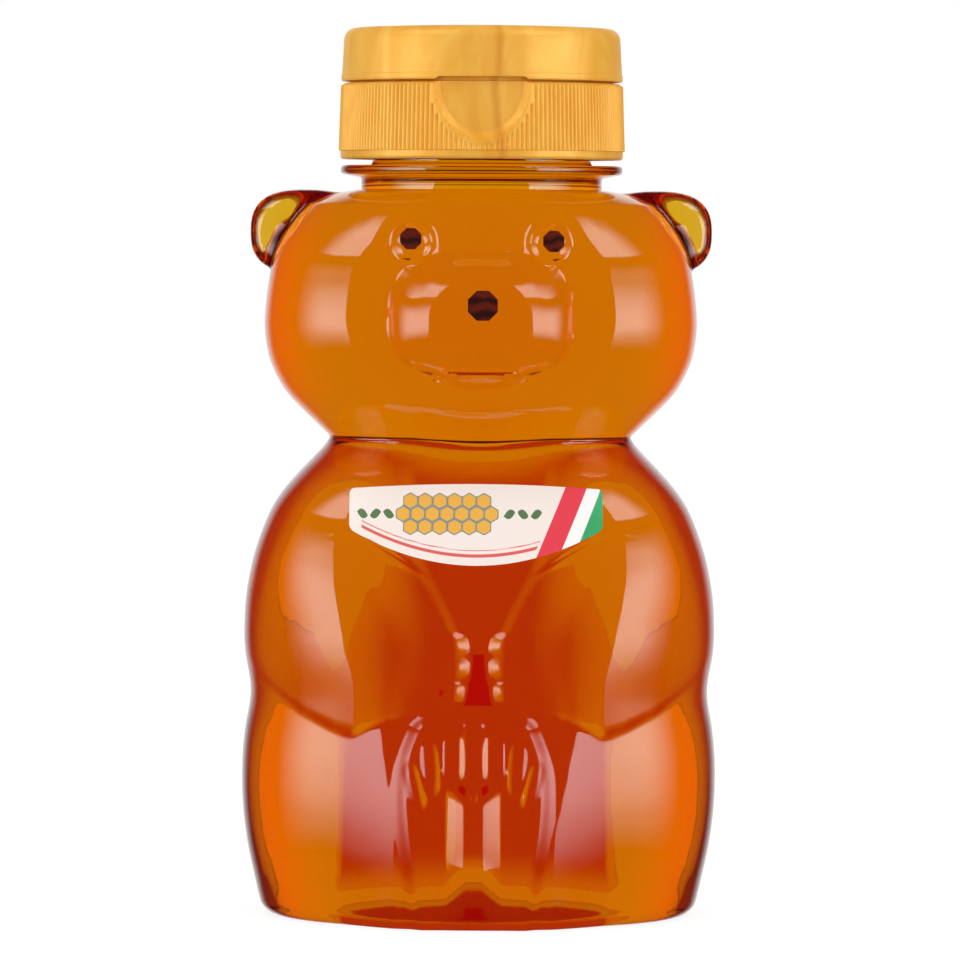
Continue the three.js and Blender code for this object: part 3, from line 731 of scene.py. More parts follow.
share = np.sin(np.linspace(-np.pi / 2, np.pi / 2, 181))
label_x = front_label_middle + front_label_half * share
cut = corner_cut(front_label_half * share, front_label_half, front_label_corner)
label_low = front_label_bottom + (front_label_side - front_label_bottom) * share ** 2 + cut
label_high = front_label_top - front_label_arch * share ** 2 - cut
rise = np.linspace(0, 1, 61)[:, None]
z = label_low + (label_high - label_low) * rise
x = label_x + 0 * z
y = bear_front(x, z)
points, faces, _ = closed_sheet(
    np.stack([x, y - label_thickness, z], -1), np.stack([x, y + label_sunk, z], -1)
)
along = np.concatenate([[0], np.cumsum(np.hypot(np.diff(label_x), np.diff(y[30])))])
along = along - np.interp(front_label_middle, label_x, along) + 0 * z
over_edge = z - (front_label_bottom + (front_label_side - front_label_bottom) * share ** 2)


def stored(tree, *names):
    """The numbers that mark stored under some names."""
    return [add(tree, "Attribute", attribute_name=name).outputs["Fac"] for name in names]


def inked(tree, layers, edge=0.05):
    """White paper with inks laid one over another, each where a distance in millimetres passes a
    start."""
    ground = colour(paper_white)
    for distance, start, ink in layers:
        amount = add(tree, "MapRange", {"Value": distance, 1: start, 2: start + edge})
        ground = add(tree, "Mix", {
            "Factor": amount.outputs[0], 6: ground, 7: colour(ink),
        }, data_type="RGBA").outputs[2]
    return ground


def into_bar(tree, place, low, high):
    """Distance into a bar between two places: half its width less |place - its middle|."""
    into = add(tree, "Math", {0: place, 1: (low + high) / 2}, operation="SUBTRACT")
    away = add(tree, "Math", {0: into.outputs[0]}, operation="ABSOLUTE")
    depth = add(tree, "Math", {0: (high - low) / 2, 1: away.outputs[0]}, operation="SUBTRACT")
    return depth.outputs[0]


# Coated paper, printed in flat inks and varnished, so it has a soft shine over a faint grain of
# fibres about a millimetre long.
label_paper, tree, out = new_material("varnished_label_paper")
cells, leaves, rules, slant = stored(tree, "cells", "leaves", "rules", "slant")
ground = inked(tree, [
    (cells, -0.02, comb_grey), (cells, 0.16, comb_gold), (leaves, 0.0, leaf_green),
    (rules, 0.0, rule_red),
    *[(into_bar(tree, slant, low, high), 0.0, ink) for low, high, ink in stripes],
])
grain = add(tree, "TexNoise", {
    "Vector": add(tree, "TexCoord").outputs["Object"], "Scale": 900.0, "Detail": 3.0,
})
fibre = add(tree, "Bump", {"Height": grain.outputs["Fac"], "Strength": 0.05, "Distance": 0.0001})
shader = add(tree, "BsdfPrincipled", {
    "Base Color": ground, "Roughness": 0.38, "IOR": 1.45, "Normal": fibre.outputs["Normal"],
})
tree.links.new(shader.outputs["BSDF"], out.inputs["Surface"])

front_label = make_piece("front_label_paper", points, faces, [label_paper])
comb = comb_distance(along - comb_at[0], z - comb_at[1], comb_size, comb_reach)
mark(front_label, "cells", comb)
sprigs = sprig_distance(along, z - comb_at[1], leaf_length, leaf_half_height)
beside_comb = np.max([np.minimum(along - low, high - along) for low, high in sprig_ends], axis=0)
mark(front_label, "leaves", np.minimum(sprigs, beside_comb))
# The rules stop short of the label's side and of the slanting stripes.
two_rules = np.max([half - np.abs(over_edge - height) for height, half in rule_lines], axis=0)
between_ends = np.minimum(along + 18.0, 11.2 - along + (z - 63) / 2)
mark(front_label, "rules", np.minimum(two_rules, between_ends))
mark(front_label, "slant", along - 0.42 * (z - 69.0))
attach(front_label, "bottle")
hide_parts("front_label")

# Back label: a tall narrow paper sticker, pressed on the bear's back. From the front it shows
# through the honey as a darker field, and its print is a framed panel under a band of honeycomb.
back_label_half = 13.4
back_label_low, back_label_high = 5.5, 60.0
back_label_corner = 2.0
label_clear = 0.03
comb_band_height, comb_band_size = 51.5, 1.5
panel_middle, panel_half, panel_half_height = 27.0, 10.5, 18.0
block_middle, block_half_height = (-0.6, 34.4), 5.6
ruled_half, ruled_half_height, rule_pitch, rule_half = 8.4, 14.3, 4.0, 0.16


def bear_back(x, z):
    """Depth of the bottle's back at a place across and a height."""
    half_width, _, back, roundness = section(z)
    return back * depth_share(x / half_width, roundness)


share = np.sin(np.linspace(np.pi / 2, -np.pi / 2, 141))
cut = corner_cut(back_label_half * share, back_label_half, back_label_corner)
rise = np.linspace(0, 1, 111)[:, None]
z = back_label_low + cut + (back_label_high - back_label_low - 2 * cut) * rise
x = back_label_half * share + 0 * z
y = bear_back(x, z)
points, faces, outer_faces = closed_sheet(
    np.stack([x, y + label_thickness, z], -1), np.stack([x, y + label_clear, z], -1)
)

# The label's back, glued to the plastic: it lets light from behind through in a colour painted nearly
# white within 4.5 mm of its edge and amber further in, a painted glow for more light there, and the red
# block of the print shows through it.
glued_paper, tree, out = new_material("glued_label_back_painted_edge_glow")
inward, red_block = stored(tree, "inward", "red_block")
# Painted glow: the translucent colour is lightest at the label's edge, turning amber 4.5 mm in.
glow = colour("#fff6ea")
for distance, start, end, ink in [(inward, 0.0, 4.5, "#e68a4c"), (red_block, -0.15, 0.15, "#e0241c")]:
    amount = add(tree, "MapRange", {
        "Value": distance, 1: start, 2: end,
    }, interpolation_type="SMOOTHSTEP")
    glow = add(tree, "Mix", {
        "Factor": amount.outputs[0], 6: glow, 7: colour(ink),
    }, data_type="RGBA").outputs[2]
matt = add(tree, "BsdfDiffuse", {"Color": colour("#e6d2c2")})
through = add(tree, "BsdfTranslucent", {"Color": glow})
both = add(tree, "MixShader", {0: 0.8, 1: matt.outputs[0], 2: through.outputs[0]})
tree.links.new(both.outputs[0], out.inputs["Surface"])

# The printed face, seen from outside alone, so that light reaches the glued back through it.
printed_paper, tree, out = new_material("varnished_back_label_paper")
cells, frame_line, rules, red_block = stored(tree, "cells", "frame_line", "rules", "red_block")
ground = inked(tree, [
    (cells, -0.02, comb_grey), (cells, 0.2, comb_gold), (frame_line, 0.0, leaf_green),
    (rules, 0.0, rule_red), (red_block, 0.0, "#d8333a"),
])
shader = add(tree, "BsdfPrincipled", {"Base Color": ground, "Roughness": 0.38, "IOR": 1.45})
open_inside = add(tree, "BsdfTransparent")
from_inside = add(tree, "NewGeometry").outputs["Backfacing"]
one_way = add(tree, "MixShader", {0: from_inside, 1: shader.outputs[0], 2: open_inside.outputs[0]})
tree.links.new(one_way.outputs[0], out.inputs["Surface"])

inside = np.arange(len(faces)) >= outer_faces
inside[2 * outer_faces:] = False
back_label = make_piece("back_label_paper", points, faces, [printed_paper, glued_paper], inside)
mark(back_label, "inward", np.minimum(
    back_label_half - np.abs(x), np.minimum(z - back_label_low, back_label_high - z)
))
mark(back_label, "cells", comb_distance(x, z - comb_band_height, comb_band_size, comb_reach))
panel = np.maximum(np.abs(x) - panel_half, np.abs(z - panel_middle) - panel_half_height)
mark(back_label, "frame_line", 0.25 - np.abs(panel))
# The block is a little wider at its foot.
block_half = 1.5 + (40 - z) * 0.13
mark(back_label, "red_block", np.minimum(
    block_half - np.abs(x - block_middle[0]), block_half_height - np.abs(z - block_middle[1])
))
ruled = np.minimum(ruled_half - np.abs(x), ruled_half_height - np.abs(z - panel_middle))
from_rule = np.mod(z - panel_middle + rule_pitch / 2, rule_pitch) - rule_pitch / 2
mark(back_label, "rules", np.minimum(rule_half - np.abs(from_rule), ruled))
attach(back_label, "bottle")
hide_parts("back_label")

# Seal: aluminium foil on card, with a half-round tab to lift it by. Heat welds it to the rim of the
# full bottle, under the closure.
seal_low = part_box("foil_seal")[0].z / MM
seal_radius = finish_radius
seal_thickness = 0.3
tab_half, tab_length, tab_thickness = 6.0, 9.0, 0.1


def round_turns(count):
    """Evenly spaced turns."""
    return np.arange(count) / count * 2 * np.pi


def turned_rings(profile, count):
    """Level circles of evenly spaced points, from a profile of radii and heights."""
    radii, heights = np.asarray(profile, float).T
    return round_rings(round_turns(count), radii, heights)


def eased(profile, size, closed=False, steps=3):
    """A profile with each corner cut by a short curve: (1-t)^2 a + 2t(1-t) p + t^2 b."""
    p = np.asarray(profile, float)
    before, after = np.roll(p, 1, 0) - p, np.roll(p, -1, 0) - p
    reach = [
        side * np.minimum(size / np.maximum(np.linalg.norm(side, axis=1), 1e-6), 0.48)[:, None]
        for side in (before, after)
    ]
    t = np.linspace(0, 1, steps)[None, :, None]
    a, b = (p + r for r in reach)
    curve = (1 - t) ** 2 * a[:, None] + 2 * t * (1 - t) * p[:, None] + t ** 2 * b[:, None]
    if closed:
        return curve.reshape(-1, 2)
    return np.concatenate([p[:1], curve[1:-1].reshape(-1, 2), p[-1:]])


seal_top = seal_low + seal_thickness
disc = turned_rings([
    (3, seal_top), (9, seal_top), (14.6, seal_top), (15.6, seal_top - 0.02), (16.0, seal_top - 0.12),
    (17.2, seal_top - 0.12), (17.45, seal_top - 0.16), (seal_radius, seal_top - 0.2),
    (seal_radius, seal_low), (15, seal_low), (6, seal_low),
], 128)
disc_points, disc_faces = closed_rings(disc, (0, 0, seal_top), (0, 0, seal_low))
u = np.linspace(-1, 1, 41)[None, :]
v = np.linspace(0, 1, 21)[:, None]
tab_end = -tab_length + tab_half * (1 - np.sqrt(1 - u ** 2))
tab_z = seal_top + 0.02 + 0.16 * np.sin(np.pi * v) * (1 - u ** 2)
tab = np.stack(np.broadcast_arrays(tab_half * u, tab_end * (1 - v), tab_z), -1)
tab_points, tab_faces, _ = closed_sheet(tab + np.array([0, 0, tab_thickness]), tab)
first_tab = sum(len(points) for points in disc_points)
tab_faces = (np.array(tab_faces) + first_tab).tolist()

# Rolled aluminium foil, pressed with a fine grid of dots 1.1 mm apart.
seal_foil, tree, out = new_material("embossed_aluminium_foil")
place = add(tree, "Mapping", {
    "Vector": add(tree, "TexCoord").outputs["Object"], "Scale": (900, 900, 0),
})
dots = add(tree, "TexVoronoi", {"Vector": place.outputs[0], "Scale": 1.0, "Randomness": 0.0})
pressed = add(tree, "Bump", {"Height": dots.outputs["Distance"], "Strength": 0.4, "Distance": 0.0002})
shader = add(tree, "BsdfPrincipled", {
    "Base Color": colour("#d9dadb"), "Metallic": 1.0, "Roughness": 0.32,
    "Normal": pressed.outputs["Normal"],
})
tree.links.new(shader.outputs["BSDF"], out.inputs["Surface"])
seal = make_piece("foil_seal_pressed", disc_points + tab_points, disc_faces + tab_faces, [seal_foil])
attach(seal, "bottle")
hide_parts("foil_seal")

# Closure base: pearly gold polypropylene, moulded in one with the lid. Fine ribs all round its
# skirt for grip, a dished thumb scoop at the front, and a spout in the middle of its deck.
cap_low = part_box("cap_base")[0].z / MM
cap_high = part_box("flip_lid")[0].z / MM - 0.5
spout_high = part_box("cap_base")[1].z / MM
deck_low = cap_high - 1.2
thread_wall = 19.05
rib_count = 180
rib_depth = 0.3
rib_low = cap_low + 1.3
# The skirt's radius between its ribs, at the foot and at the top.
groove_radius = (22.55, 22.2)
# The scoop, and the shares of its outline that the plain band round it lies between.
scoop_half, scoop_drop, scoop_deep = 7.6, 9.4, 0.95
band_inner, band_outer, band_rise = 0.98, 1.07, 1.15
hinge_half, hinge_flat, hinge_low, hinge_high = 5.3, 21.9, cap_high - 2.0, cap_high + 2.5
bead_outer, bead_inner, bead_high = 20.8, 19.8, cap_high + 0.9
spout_outer, spout_bore, seat_bore, seat_high = 8.0, 6.6, 4.6, cap_high + 1.2
# The slot inside the skirt, between the wall with the thread and the ribbed skin.
slot_inner, slot_outer, slot_high = 20.4, 21.45, deck_low - 1.2


def scoop_distance(x, z):
    """Distance from the scoop's middle as a share of its outline, 1 on its edge."""
    return np.hypot(x / scoop_half, (z - cap_high) / scoop_drop)


def flat_at_hinge(rings):
    """Cuts the back flat where the hinge strap lies."""
    x, y, z = np.moveaxis(rings, -1, 0)
    there = (np.abs(x) < hinge_half) & (y > 0) & (z > hinge_low) & (z < hinge_high)
    rings[..., 1] = np.where(there, np.minimum(y, hinge_flat), y)
    return rings


cap_turns = round_turns(4 * rib_count)
skin_z = np.concatenate([
    cap_low + np.array([0, 0.06, 0.2, 0.4, 0.8, 1.2]), [rib_low, rib_low + 0.08],
    np.arange(rib_low + 0.4, cap_high - 0.6, 0.33), cap_high + np.array([-0.5, -0.38, -0.2, -0.06]),
])[:, None]
up_share = np.clip((skin_z - rib_low) / (cap_high - rib_low), 0, 1)
groove = groove_radius[0] + (groove_radius[1] - groove_radius[0]) * up_share
foot_rounding = 0.3 * (1 - soft((skin_z - cap_low) / 0.3))
top_rounding = 0.25 * soft((skin_z - cap_high + 0.5) / 0.5)
groove = groove - foot_rounding - top_rounding
x = groove * np.cos(cap_turns)
rib_shape = np.tile([0.0, 0.8, 1.0, 0.8], rib_count)
from_scoop = np.where(np.sin(cap_turns) < 0, scoop_distance(x, skin_z), 9)
banded = (from_scoop < band_outer) & (from_scoop > band_inner)
rib_ends = (skin_z > rib_low + 0.04) * (1 - soft((skin_z - cap_high + 0.42) / 0.3))
rib = np.where(banded, band_rise, rib_shape * (from_scoop > 1)) * rib_ends
radius = groove + rib_depth * rib
skin = np.stack([radius * np.cos(cap_turns), radius * np.sin(cap_turns), skin_z + 0 * radius], -1)
# The deck from its edge in: a low bead that the lid shuts over, the spout with a seat for the valve
# in it, and back out under the deck.
deck_profile = eased([
    (21.7, cap_high), (bead_outer, cap_high), (bead_outer, bead_high), (bead_inner, bead_high),
    (bead_inner, cap_high), (spout_outer, cap_high), (spout_outer, spout_high),
    (spout_bore, spout_high), (spout_bore, seat_high), (seat_bore, seat_high), (seat_bore, deck_low),
    (thread_wall, deck_low), (thread_wall, deck_low - 0.4),
], 0.3)
wall_z = np.arange(deck_low - 0.8, cap_low + 0.2, -0.4)
inner_ridge = thread_ridge(cap_turns[None], wall_z[:, None], thread_foot + thread_pitch / 2, 1.0)
inner_wall = round_rings(cap_turns, [thread_wall] * len(wall_z), wall_z)
inner_wall[..., :2] *= (1 - inner_ridge / thread_wall)[..., None]
deck = round_rings(cap_turns, *deck_profile.T)
slot_profile = eased([
    (thread_wall, cap_low), (slot_inner, cap_low), (slot_inner, slot_high), (slot_outer, slot_high),
    (slot_outer, cap_low),
], 0.25, closed=True)
slot = round_rings(cap_turns, *slot_profile.T)
# Behind the scoop the slot is filled, but for its mouth.
behind_scoop = soft((9.6 - np.abs(slot[..., 0])) / 1.0) * (slot[..., 1] < 0)
slot[..., 2] = np.minimum(slot[..., 2], deck_low + (cap_low + 0.9 - deck_low) * behind_scoop)
upper = np.concatenate([skin, deck])
from_scoop = scoop_distance(upper[..., 0], upper[..., 2])
dished = groove_radius[1] - scoop_deep * soft((band_inner - from_scoop) / 0.14)
bowl = -np.sqrt(np.maximum(dished ** 2 - upper[..., 0] ** 2, 0))
in_scoop = (from_scoop < band_inner) & (upper[..., 1] < -12)
upper[..., 1] = np.where(in_scoop, np.maximum(upper[..., 1], bowl), upper[..., 1])
cap_rings = np.concatenate([flat_at_hinge(upper), inner_wall, slot])

# Polypropylene with pearl pigment: satin gold whose flakes follow the flow of the melt, in faint
# clouds and in a darker line where two flows met at the front.
gold_pp, tree, out = new_material("moulded_pearl_gold_polypropylene")
place = add(tree, "TexCoord").outputs["Object"]
flow = add(tree, "Mapping", {"Vector": place, "Scale": (1.0, 1.0, 0.35)})
clouds = add(tree, "TexNoise", {
    "Vector": flow.outputs[0], "Scale": 130.0, "Detail": 4.0, "Distortion": 1.2,
})
cloudy = add(tree, "MapRange", {"Value": clouds.outputs["Fac"], 1: 0.3, 2: 0.7})
gold = add(tree, "Mix", {
    "Factor": cloudy.outputs[0], 6: colour("#f0a628"), 7: colour("#fdc352"),
}, data_type="RGBA")
parts = add(tree, "SeparateXYZ", {0: place})
bent = add(tree, "Math", {0: clouds.outputs["Fac"], 1: 0.006, 2: -0.0055}, operation="MULTIPLY_ADD")
off = add(tree, "Math", {0: parts.outputs["X"], 1: bent.outputs[0]}, operation="ADD")
away = add(tree, "Math", {0: off.outputs[0]}, operation="ABSOLUTE")
line = add(tree, "MapRange", {
    "Value": away.outputs[0], 1: 0.0, 2: 0.0014, 3: 0.6, 4: 0.0,
}, interpolation_type="SMOOTHSTEP")
front_only = add(tree, "Math", {0: parts.outputs["Y"], 1: -0.012}, operation="LESS_THAN")
weld = add(tree, "Math", {0: line.outputs[0], 1: front_only.outputs[0]}, operation="MULTIPLY")
tinted = add(tree, "Mix", {
    "Factor": weld.outputs[0], 6: gold.outputs[2], 7: colour("#dc8712"),
}, data_type="RGBA")
grain = add(tree, "TexNoise", {"Vector": place, "Scale": 2500.0, "Detail": 2.0})
satin = add(tree, "Bump", {"Height": grain.outputs["Fac"], "Strength": 0.06, "Distance": 0.0001})
shader = add(tree, "BsdfPrincipled", {
    "Base Color": tinted.outputs[2], "Metallic": 0.12, "Roughness": 0.42, "IOR": 1.5,
    "Normal": satin.outputs["Normal"],
})
tree.links.new(shader.outputs["BSDF"], out.inputs["Surface"])

cap_base = make_piece(
    "closure_base_ribbed", [cap_rings.reshape(-1, 3)],
    strips(0, len(cap_rings), len(cap_turns), around=True), [gold_pp], sharp=38,
)
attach(cap_base, "closure")
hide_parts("cap_base")

# Valve: a dished skin of silicone rubber with a cross slit, which stays shut until the bottle is
# squeezed. It is moulded with a flange round it, which lies on the seat in the spout.
valve_thick = 0.9
valve_low = cap_high + 1.5
valve_high = valve_low + valve_thick
valve_rim, valve_bowl, valve_skin, valve_dish = 6.3, 4.2, 0.6, 0.5
slit_half, slit_wide, slit_depth = 2.5, 0.22, 0.5


def sunk_profile(edge_height, drop, radii):
    """Radii and heights of a bowl, which sinks by drop times 1 - (r / bowl radius)^2."""
    return [(r, edge_height - drop * (1 - (r / valve_bowl) ** 2)) for r in radii]


over = sunk_profile(valve_high, valve_dish, np.linspace(0.15, valve_bowl, 40))
under_drop = valve_skin + valve_dish - valve_thick
under = sunk_profile(valve_low, under_drop, np.linspace(valve_bowl, 0.6, 8))
flange = eased([
    (valve_bowl, valve_high), (valve_rim, valve_high), (valve_rim, valve_low), (valve_bowl, valve_low),
], 0.15)
valve_rings = turned_rings(np.concatenate([over, flange[1:-1], under]), 192)
x, y, z = np.moveaxis(valve_rings, -1, 0)
top_side = np.arange(len(valve_rings))[:, None] < len(over)
from_slit = np.minimum(
    np.where(np.abs(x) < slit_half, np.abs(y), 9), np.where(np.abs(y) < slit_half, np.abs(x), 9)
)
valve_rings[..., 2] -= top_side * slit_depth * bump(from_slit / slit_wide) * (np.hypot(x, y) < slit_half)
bowl_bottom = valve_high - valve_dish
points, faces = closed_rings(
    valve_rings, (0, 0, bowl_bottom - slit_depth), (0, 0, bowl_bottom - valve_skin)
)


def hazy(name, scale, detail, shades, roughness, ior):
    """A matt plastic whose shade wanders between two colours in soft clouds."""
    made, tree, out = new_material(name)
    place = add(tree, "TexCoord").outputs["Object"]
    haze = add(tree, "TexNoise", {"Vector": place, "Scale": scale, "Detail": detail})
    shade = add(tree, "Mix", {
        "Factor": haze.outputs["Fac"], 6: colour(shades[0]), 7: colour(shades[1]),
    }, data_type="RGBA")
    shader = add(tree, "BsdfPrincipled", {
        "Base Color": shade.outputs[2], "Roughness": roughness, "IOR": ior,
    })
    tree.links.new(shader.outputs["BSDF"], out.inputs["Surface"])
    return made


# Moulded silicone rubber: milky and matt, with clouds a millimetre and a half across.
silicone = hazy("moulded_silicone_rubber", 700.0, 3.0, ("#e3e1da", "#efeee9"), 0.48, 1.41)
valve = make_piece("slit_valve_silicone", points, faces, [silicone])
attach(valve, "valve_carrier")
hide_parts("slit_valve")

# Valve ring: natural polypropylene, moulded, and snapped into the spout on top of the valve's
# flange to hold it down. Its mouth widens upwards.
ring_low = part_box("valve_retainer")[0].z / MM
ring_high = ring_low + 1.3
ring_outer, ring_mouth, ring_bore = 6.3, 5.6, 4.8
ring_profile = eased([
    (ring_outer, ring_low), (ring_outer, ring_high), (ring_mouth, ring_high),
    (ring_bore, ring_low + 0.7), (ring_bore, ring_low),
], 0.2, closed=True, steps=4)
ring_rings = turned_rings(ring_profile, 160)
# Polypropylene without pigment: a cloudy white, a little glossier than the silicone.
natural_pp = hazy("moulded_natural_polypropylene", 500.0, 2.0, ("#ecebe6", "#f6f5f1"), 0.35, 1.49)
retainer = make_piece(
    "valve_ring_moulded", [ring_rings.reshape(-1, 3)],
    strips(0, *ring_rings.shape[:2], around=True), [natural_pp],
)
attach(retainer, "valve_carrier")
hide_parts("valve_retainer")

# Lid: the other half of the closure's moulding, with a rounded edge and a faintly domed top. The
# thumb lifts it by a shallow notch in its lower edge, and a plug ring inside it shuts the spout.
lid_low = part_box("flip_lid")[0].z / MM - 0.2
lid_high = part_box("flip_lid")[1].z / MM
lid_foot_radius, lid_edge_radius = 22.4, 22.05
edge_round, lid_dome = 1.9, 0.45
notch_half, notch_rise = 7.2, 0.45
lid_bore, plug_outer, plug_bore = 21.1, 5.2, 4.4
edge_top = lid_high - lid_dome
crown = [(r, lid_high - lid_dome * (r / 20) ** 2) for r in (4, 8, 12, 16, 18.5)]
turn = np.linspace(0, np.pi / 2, 9)
rounding = np.stack([
    lid_edge_radius - edge_round * (1 - np.sin(turn)), edge_top - edge_round * (1 - np.cos(turn))
], -1)
up_share = np.array([0.85, 0.7, 0.55, 0.4, 0.25, 0.2, 0.17])
side = np.stack([
    lid_foot_radius + (lid_edge_radius - lid_foot_radius) * up_share,
    lid_low + (edge_top - edge_round - lid_low) * up_share,
], -1)
foot = [
    (22.44, lid_low + 1.0), (22.46, lid_low + 0.5), (22.44, lid_low + 0.2), (22.36, lid_low + 0.06),
    (22.2, lid_low), (21.4, lid_low), (21.15, lid_low + 0.15),
]
ceiling = lid_high - 1.3
plug_low = spout_high + 0.3
inside_lid = eased([
    (lid_bore, lid_low + 0.6), (lid_bore, ceiling), (plug_outer, ceiling), (plug_outer, plug_low),
    (plug_bore, plug_low), (plug_bore, ceiling), (1.5, ceiling),
], 0.4, steps=4)
lid_rings = turned_rings(np.concatenate([crown, rounding, side, foot, inside_lid]), 480)
x, y, z = np.moveaxis(lid_rings, -1, 0)
notched = np.clip((notch_half - np.abs(x)) / 0.3, 0, 1) * (y < 0) * (np.hypot(x, y) > 21)
lid_rings[..., 2] = np.maximum(z, lid_low + notch_rise * notched)
points, faces = closed_rings(flat_at_hinge(lid_rings), (0, 0, lid_high), (0, 0, ceiling))
flip_lid = make_piece("flip_lid_moulded", points, faces, [gold_pp], sharp=38)
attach(flip_lid, "lid")
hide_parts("flip_lid")

# Living hinge: a thin strap of gold polypropylene across the back, moulded in one with the base and
# the lid that it joins. It is narrowest and thinnest where it folds.
strap_low, strap_high = (corner.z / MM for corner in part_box("hinge_film"))
strap_front, strap_back = (corner.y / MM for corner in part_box("hinge_film"))
strap_half = 5.0
fold = (strap_low + strap_high) / 2
u = np.linspace(-1, 1, 41)[None, :]
z = np.linspace(strap_low, strap_high, 49)[:, None]
thin = 0.13 * bump((z - fold) / 0.8)
wide = strap_half - 0.5 * bump((z - fold) / 1.4)
grids = [
    np.stack(np.broadcast_arrays(-wide * u, at, z + 0 * u), -1)
    for at in (strap_back - thin, strap_front + thin)
]
points, faces, _ = closed_sheet(*grids)
strap = make_piece("hinge_strap_moulded", points, faces, [gold_pp])
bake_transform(strap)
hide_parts("hinge_film")

# Floor and light: a wide pale floor, large soft boxes to the left and right that show only as
# reflections, and even light all round.
half = 4.0
corners = [(-half, -half, 0), (half, -half, 0), (half, half, 0), (-half, half, 0)]
mesh = bpy.data.meshes.new("floor")
mesh.from_pydata(corners, [], [(0, 1, 2, 3)])
floor = bpy.data.objects.new("floor", mesh)
scene.collection.objects.link(floor)
pale_floor, tree, out = new_material("pale_floor")
rays = add(tree, "LightPath").outputs
shown = add(tree, "Math", {0: rays["Is Camera Ray"], 1: rays["Is Transmission Ray"]}, operation="MAXIMUM")
glow = add(tree, "Emission", {"Color": colour("#ffffff"), "Strength": 0.86})
matt = add(tree, "BsdfDiffuse", {"Color": colour("#7a7a7a")})
both = add(tree, "AddShader", {0: glow.outputs[0], 1: matt.outputs[0]})
plain = add(tree, "BsdfDiffuse", {"Color": colour("#e4e4e4")})
mixed = add(tree, "MixShader", {0: shown.outputs[0], 1: plain.outputs[0], 2: both.outputs[0]})
tree.links.new(mixed.outputs[0], out.inputs["Surface"])
mesh.materials.append(pale_floor)
floor.visible_glossy = floor.visible_shadow = floor.visible_transmission = False

box_distance, box_middle = 0.8, 0.07


def soft_box(name, azimuths, elevations, strength, fades):
    """A glowing sheet round part of the bottle, seen in its gloss alone: from an inner to an outer
    azimuth, counted from the camera's side, and between two elevations. Its glow fades over a
    share of its width at the outer edge, and over shares of its height below and above."""
    count, rows = 25, 13
    turn = np.radians(np.linspace(*azimuths, count))[None, :]
    rise = np.radians(np.linspace(*elevations, rows))[:, None]
    flat = box_distance * np.cos(rise)
    x, y = np.sin(turn) * flat, -np.cos(turn) * flat
    z = box_middle + box_distance * np.sin(rise) + 0 * turn
    _, grid = grid_faces(rows, count)
    sheet = bpy.data.meshes.new(name)
    sheet.from_pydata(np.stack([x, y, z], -1).reshape(-1, 3).tolist(), [], grid.tolist())
    shares = np.stack(np.meshgrid(np.linspace(0, 1, count), np.linspace(0, 1, rows)), -1)
    corner_shares = shares.reshape(-1, 2)[grid.ravel()]
    sheet.uv_layers.new(name="UVMap").data.foreach_set("uv", corner_shares.ravel())
    outer, below, above = fades
    glowing, tree, out = new_material(name + "_glow")
    place = add(tree, "SeparateXYZ", {0: add(tree, "UVMap").outputs[0]})
    level = strength
    for axis, start, end in ((0, 1.0, 1.0 - outer), (1, 0.0, below), (1, 1.0, 1.0 - above)):
        if start != end:
            fade = add(tree, "MapRange", {
                "Value": place.outputs[axis], 1: start, 2: end,
            }, interpolation_type="SMOOTHSTEP")
            level = add(tree, "Math", {0: fade.outputs[0], 1: level}, operation="MULTIPLY").outputs[0]
    glow = add(tree, "Emission", {"Strength": level})
    tree.links.new(glow.outputs[0], out.inputs["Surface"])
    glowing.cycles.emission_sampling = "NONE"
    sheet.materials.append(glowing)
    made = bpy.data.objects.new(name, sheet)
    scene.collection.objects.link(made)
    made.visible_camera = made.visible_diffuse = made.visible_transmission = False
    made.visible_shadow = False


for side, sign in (("left", -1), ("right", 1)):
    soft_box("soft_box_" + side, (sign * 46, sign * 100), (-23, 26), 5.2, (0.7, 0.42, 0.45))
    soft_box("high_box_" + side, (sign * 44, sign * 95), (32, 66), 4.4, (0.6, 0.06, 0.35))

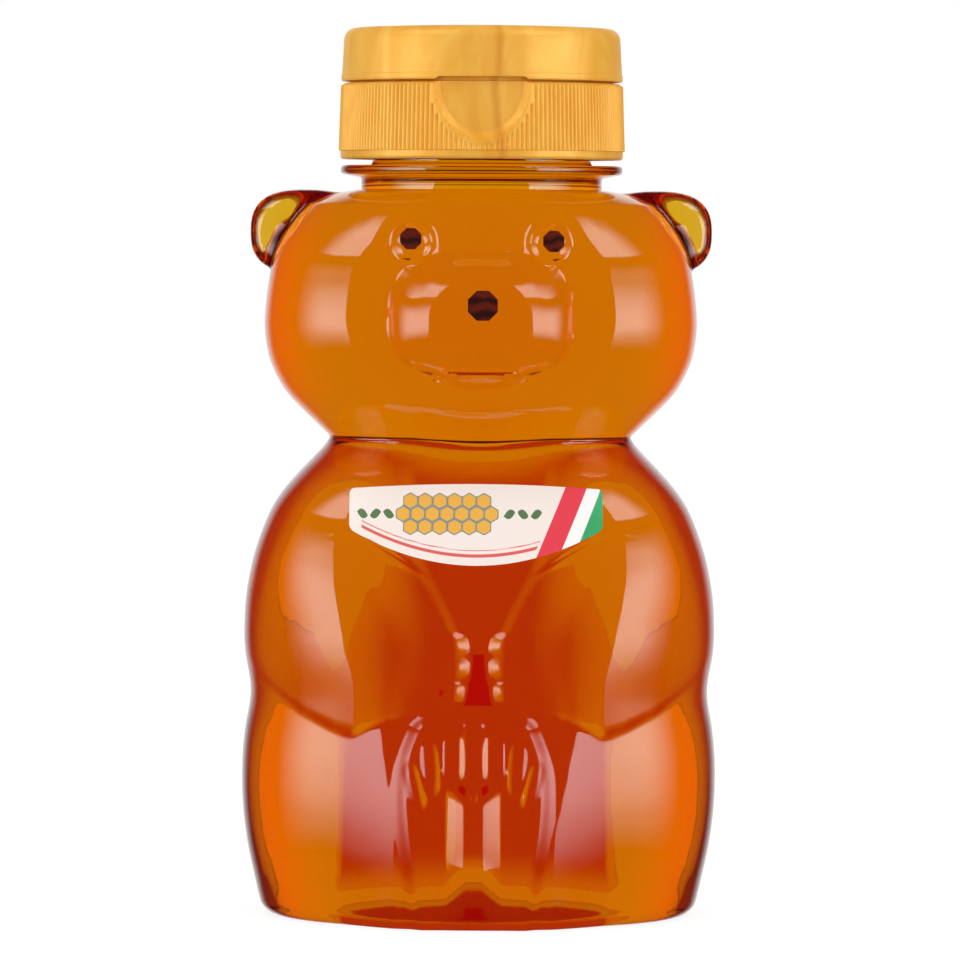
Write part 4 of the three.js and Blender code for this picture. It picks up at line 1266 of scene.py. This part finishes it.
world = bpy.data.worlds.new("studio")
scene.world = world
world.use_nodes = True
world.cycles.sampling_method = "NONE"
tree = world.node_tree
tree.nodes.clear()
out = add(tree, "OutputWorld")
rays = add(tree, "LightPath").outputs
toward = add(tree, "SeparateXYZ", {0: add(tree, "TexCoord").outputs["Generated"]})
aside = add(tree, "Math", {0: toward.outputs["X"]}, operation="ABSOLUTE")

# Each fade of the world's light: the direction's part that it follows, that part from and to, and
# the levels there. Seen through plastic and honey, the world is a little less than white behind
# the bottle, brighter and warmer to its sides, and dim on the camera's side. In gloss it is nearly
# black but for what lies straight behind, because the soft boxes give the highlights.
sides, near_side, for_gloss, warm = [
    add(tree, "MapRange", {
        "Value": part, 1: start, 2: end, 3: first, 4: last,
    }, interpolation_type="SMOOTHSTEP").outputs[0]
    for part, start, end, first, last in [
        (aside.outputs[0], 0.35, 0.9, 0.92, 1.4), (toward.outputs["Y"], -0.9, -0.4, 0.35, 1.0),
        (toward.outputs["Y"], 0.8, 0.98, 0.03, 0.9), (aside.outputs[0], 0.35, 0.8, 0.0, 1.0),
    ]
]
through = add(tree, "Math", {0: sides, 1: near_side}, operation="MULTIPLY").outputs[0]
# The level on what isn't glossy or clear, then in gloss, through clear pieces and to the camera.
level = 1.15
for kind, there in [
    ("Is Glossy Ray", for_gloss), ("Is Transmission Ray", through), ("Is Camera Ray", 1.0),
]:
    mixed = add(tree, "Mix", {"Factor": rays[kind], 2: level, 3: there}, data_type="FLOAT")
    level = mixed.outputs[0]
warm = add(tree, "Math", {0: warm, 1: rays["Is Transmission Ray"]}, operation="MULTIPLY")
tint = add(tree, "Mix", {
    "Factor": warm.outputs[0], 6: colour("#ffffff"), 7: colour("#ffc8a0"),
}, data_type="RGBA")
background = add(tree, "Background", {"Color": tint.outputs[2], "Strength": level})
tree.links.new(background.outputs[0], out.inputs["Surface"])

scene.view_settings.view_transform = "Standard"
scene.cycles.max_bounces = 64
scene.cycles.transmission_bounces = 64
scene.cycles.glossy_bounces = 32
scene.cycles.diffuse_bounces = 4
scene.cycles.transparent_max_bounces = 16
